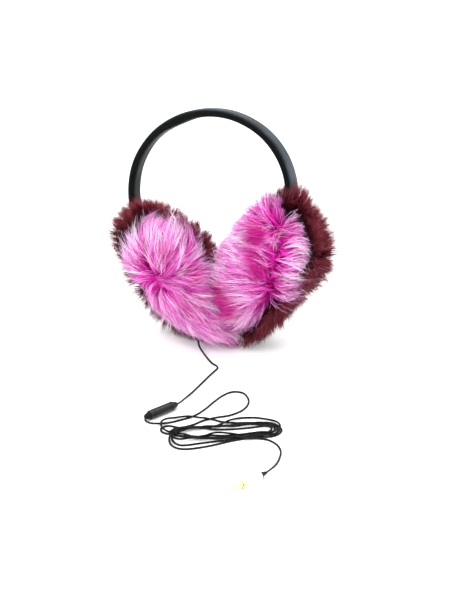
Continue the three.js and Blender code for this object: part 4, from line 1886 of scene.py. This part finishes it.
@dataclass(frozen=True)
class MuffPair:
    """The two fur muffs: a padded backing under each side, and the hair on it.

    Insets are at the rim and at the top, from the outer dome to the skin. The backing lies
    sink under the skin, with dimples.
    """

    seam: float = 0.15
    face_inset: tuple[float, float] = (16.0, 14.0)
    back_inset: tuple[float, float] = (13.0, 12.0)
    backing_grid: tuple[int, int] = (18, 72)
    sink: float = 0.9
    dimple: float = 0.9
    dimple_span: float = 22.0
    backing_clear: float = 0.5
    under: Growth = Growth(strands=4600, locks=420, tufts=1800, length=(17, 25), rim_length=13,
                           lift_root=46, lift_tip=8, gather=0.25, tuft_gather=0.4,
                           root_width=0.62, tip_width=0.2, frizz=1.0, stray_share=0.03, rings=2)
    guard: Growth = Growth(strands=8700, locks=420, tufts=2600, length=(28, 40), rim_length=18,
                           lift_root=56, lift_tip=10, gather=0.17, tuft_gather=0.52,
                           root_width=0.38, tip_width=0.1, frizz=1.6, stray_share=0.09,
                           swirl=17, soft_wall=(0.7, 1.02))
    frost: Growth = Growth(strands=3800, locks=420, tufts=1700, length=(30, 42), rim_length=20,
                           lift_root=58, lift_tip=13, gather=0.16, tuft_gather=0.42,
                           root_width=0.34, tip_width=0.1, frizz=1.9, stray_share=0.12, rings=3,
                           swirl=17, soft_wall=(0.76, 1.06))
    maroon: Growth = Growth(strands=15500, locks=520, tufts=1700, length=(15, 20),
                            rim_length=18, lift_root=80, lift_tip=62, gather=0.07,
                            tuft_gather=0.12, root_width=0.46, tip_width=0.12, frizz=1.4,
                            stray_share=0.06, crown_thinning=0.5, rings=2, swirl=26, past_rim=0.08,
                            soft_wall=(0.9, 1.2))

    def muffs(self) -> list[Muff]:
        """The left and right muffs, as the frame has them."""
        return [
            Muff("left", (-40.7, -9.2, 53), (0, -1, 0), (-0.66, 0.1, 0.75),
                 Dome(64.5, 33, 39, (-3, -3.6), 0.5, ((3, 0.05, 0), (5, 0.02, 2.0)), (), 1),
                 Dome(78, 43.4, 34, (3, -0.6), 0.08, ((3, 0.05, 1.18), (5, 0.02, 2.0)),
                      ((-1.11, 0.2, 0.28), (-0.54, -0.11, 0.41)), -1),
                 parting=((20.0, 6.0, 30.0), (14.0, 3.0, 30.0)),
                 face_reach=spots((-76, -14, 6, 24, 0.75), (-52, 16, 10, 12, -0.3),
                                  (-19, 24, 14, 20, -0.1), (65, 11, 8, 18, 0.5),
                                  (4, -46, 10, 18, 0.2), (27, -44, 10, 14, 0.1)),
                 back_reach=spots((62, 24, 0, 22, 0.08), (4, 42, 2, 24, 0.1),
                                  (60, -40, 0, 16, 0.12)),
                 tones=spots((17, 0, 34, 9, -0.4), (30, -22, 30, 8, -0.6), (-2, -30, 24, 8, -0.7),
                             (28, 22, 26, 9, 0.6), (-18, -12, 34, 12, -0.35),
                             (-62, -12, 14, 14, -0.3)),
                 collar=Spot((64, 0, 4), 10),
                 sweeps=(Sweep(Spot((-22, 12, 26), 30), (-1.1, -0.35, 0)),),
                 seed=11),
            Muff("right", (33.7, -1.1, 69.5), (-0.6, -0.7, 0.3), (0.62, 0.1, 1),
                 Dome(70, 42, 42, (-3, 4), 0.48, ((3, 0.05, 3.5), (5, 0.02, 0.5)),
                      ((0.93, -0.18, 0.34), (-0.85, 0.13, 0.46)), 1),
                 Dome(78, 47, 37, (1.7, 0.8), 0.36, ((3, 0.05, 2.62), (5, 0.02, 0.5)),
                      ((-0.59, 0.17, 0.21), (1.11, 0.06, 0.36)), -1),
                 parting=((48, -2, 14), (44, -10, 15), (36, -18, 16), (27, -22.5, 15.5),
                          (14, -25.5, 13), (3, -25, 7), (-6, -24, 3)),
                 face_reach=spots((52, -44, 2, 16, 0.7), (37, -47, 2, 13, 0.6),
                                  (16, -50, 0, 13, -0.2), (-8, -42, 2, 15, 0.9),
                                  (-26, -36, 2, 16, 0.6), (64, -16, 16, 14, -0.2),
                                  (14, 42, 12, 20, -0.4), (62, 32, 12, 14, 0.25),
                                  (72, 12, 12, 14, 0.4)),
                 back_reach=spots((78, 18, 4, 18, 0.4), (69, 34, 4, 12, 0.2),
                                  (82, -50, 0, 24, 0.15)),
                 tones=spots((39, -5, 35, 8, -1.8), (43, 6, 33, 6, -1.2), (18, -28, 32, 8, -2.1),
                             (24, -14, 36, 5, -1.2), (56, -14, 24, 6, -1.4),
                             (-33, -11, 33, 12, -1.7), (-25, 0, 36, 8, -1.3),
                             (50, -42, 8, 18, 0.6), (18, -48, 3, 18, 0.5)),
                 collar=Spot((72, 14, 8), 13),
                 sweeps=(Sweep(Spot((0, 20, 36), 30), (-0.3, 0.3, 0)),
                        Sweep(Spot((38, -20, 20), 15), (0.6, 0.4, 0)),
                        Sweep(Spot((12, -29, 20), 11), (0.7, 0.7, 0)),
                        Sweep(Spot((-9, -29, 4), 10), (-0.3, -1.0, 0))),
                 seed=23)]

    def backing(self, muff: Muff, dome: Dome, name: str, material: Material) -> Thing:
        """A stuffed dome that sags a little between soft dimples, closed over the seam.

        Args:
            muff: The muff it belongs to.
            dome: Its outline.
            name: The object's name.
            material: Its material.

        Returns:
            The object.
        """
        rows, columns = self.backing_grid
        angle = np.linspace(0, math.tau, columns, endpoint=False)
        rise = np.linspace(0, math.pi / 2, rows, endpoint=False)[:, None]
        points = dome.surface(*np.broadcast_arrays(angle[None], rise)).reshape(-1, 3)
        top = dome.surface(np.array([0.0]), np.array([math.pi / 2]))
        points = np.vstack([points, top, [[*dome.shift, 0.0]]])
        dimple = self.dimple * ripple(points, self.dimple_span, muff.seed + 3)
        points = points - (self.sink + dimple)[:, None] * dome.outward(points) * 0.8
        points[:, 2] = dome.side * np.maximum(dome.side * points[:, 2], self.seam)
        count = rows * columns
        faces = [grid_faces(rows, columns),
                 np.vstack([fan_faces(count, np.arange(count - columns, count), True),
                            fan_faces(count + 1, np.arange(columns), False)])]
        room = muff.to_room(points)
        room[:, 2] = np.maximum(room[:, 2], self.backing_clear)
        pad = make_mesh(name, room, faces, [material], sharp=80)
        turn_outwards(pad)
        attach(pad, BODY)
        return pad

    def build(self, palette: Palette) -> None:
        """Builds both muffs, backing first and hair over it.

        Args:
            palette: The materials.
        """
        left, right = self.muffs()
        for muff, other in ((left, right), (right, left)):
            face_skin = muff.face.inset(*self.face_inset)
            back_skin = muff.back.inset(*self.back_inset)
            for side, skin, material, slot in (
                    ("face", face_skin, palette.pink_backing, "fur_pink"),
                    ("back", back_skin, palette.maroon_backing, "fur_maroon")):
                pad = self.backing(muff, skin, f"{muff.name}_{side}_backing", material)
                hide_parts(f"{muff.name}_{side}_fur")
            face = (face_skin, muff.face, np.array(muff.parting, dtype=float), muff.face_reach)
            behind = np.array([[0.0, 0.0, -0.8 * muff.back.depth]])
            back = (back_skin, muff.back, behind, muff.back_reach)
            for number, (part, (skin, outer, line, reach), growth, material, slot) in enumerate((
                    ("face_underfur", face, self.under, palette.under, "fur_pink"),
                    ("face_guard_hair", face, self.guard, palette.guard, "fur_pink"),
                    ("face_frosted_hair", face, self.frost, palette.frost, "fur_pink"),
                    ("back_hair", back, self.maroon, palette.maroon, "fur_maroon"))):
                coat = Coat(muff, skin, outer, growth, line, reach, muff.seed + 7 * number, other)
                hair = coat.build(f"{muff.name}_{part}", material)
                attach(hair, BODY)
                LOG.info("%s: %d hairs", hair.name, growth.strands)


def main() -> None:
    """Builds the studio, the cord with its fittings, the headband and the muffs."""
    logging.basicConfig(level=logging.INFO, format="%(name)s: %(message)s")
    studio = Studio()
    studio.camera()
    palette = Palette()
    fittings = CordFittings()
    on_cord = [fittings.sleeve(palette), *fittings.remote(palette), *fittings.plug(palette)]
    LOG.info("cord fittings: %d pieces", len(on_cord))
    cord = Cord().build(palette, on_cord)
    LOG.info("%s built", cord.name)
    LOG.info("%s built", Headband().build(palette).name)
    MuffPair().build(palette)
    studio.floor()
    studio.light()


if __name__ == "__main__":
    main()
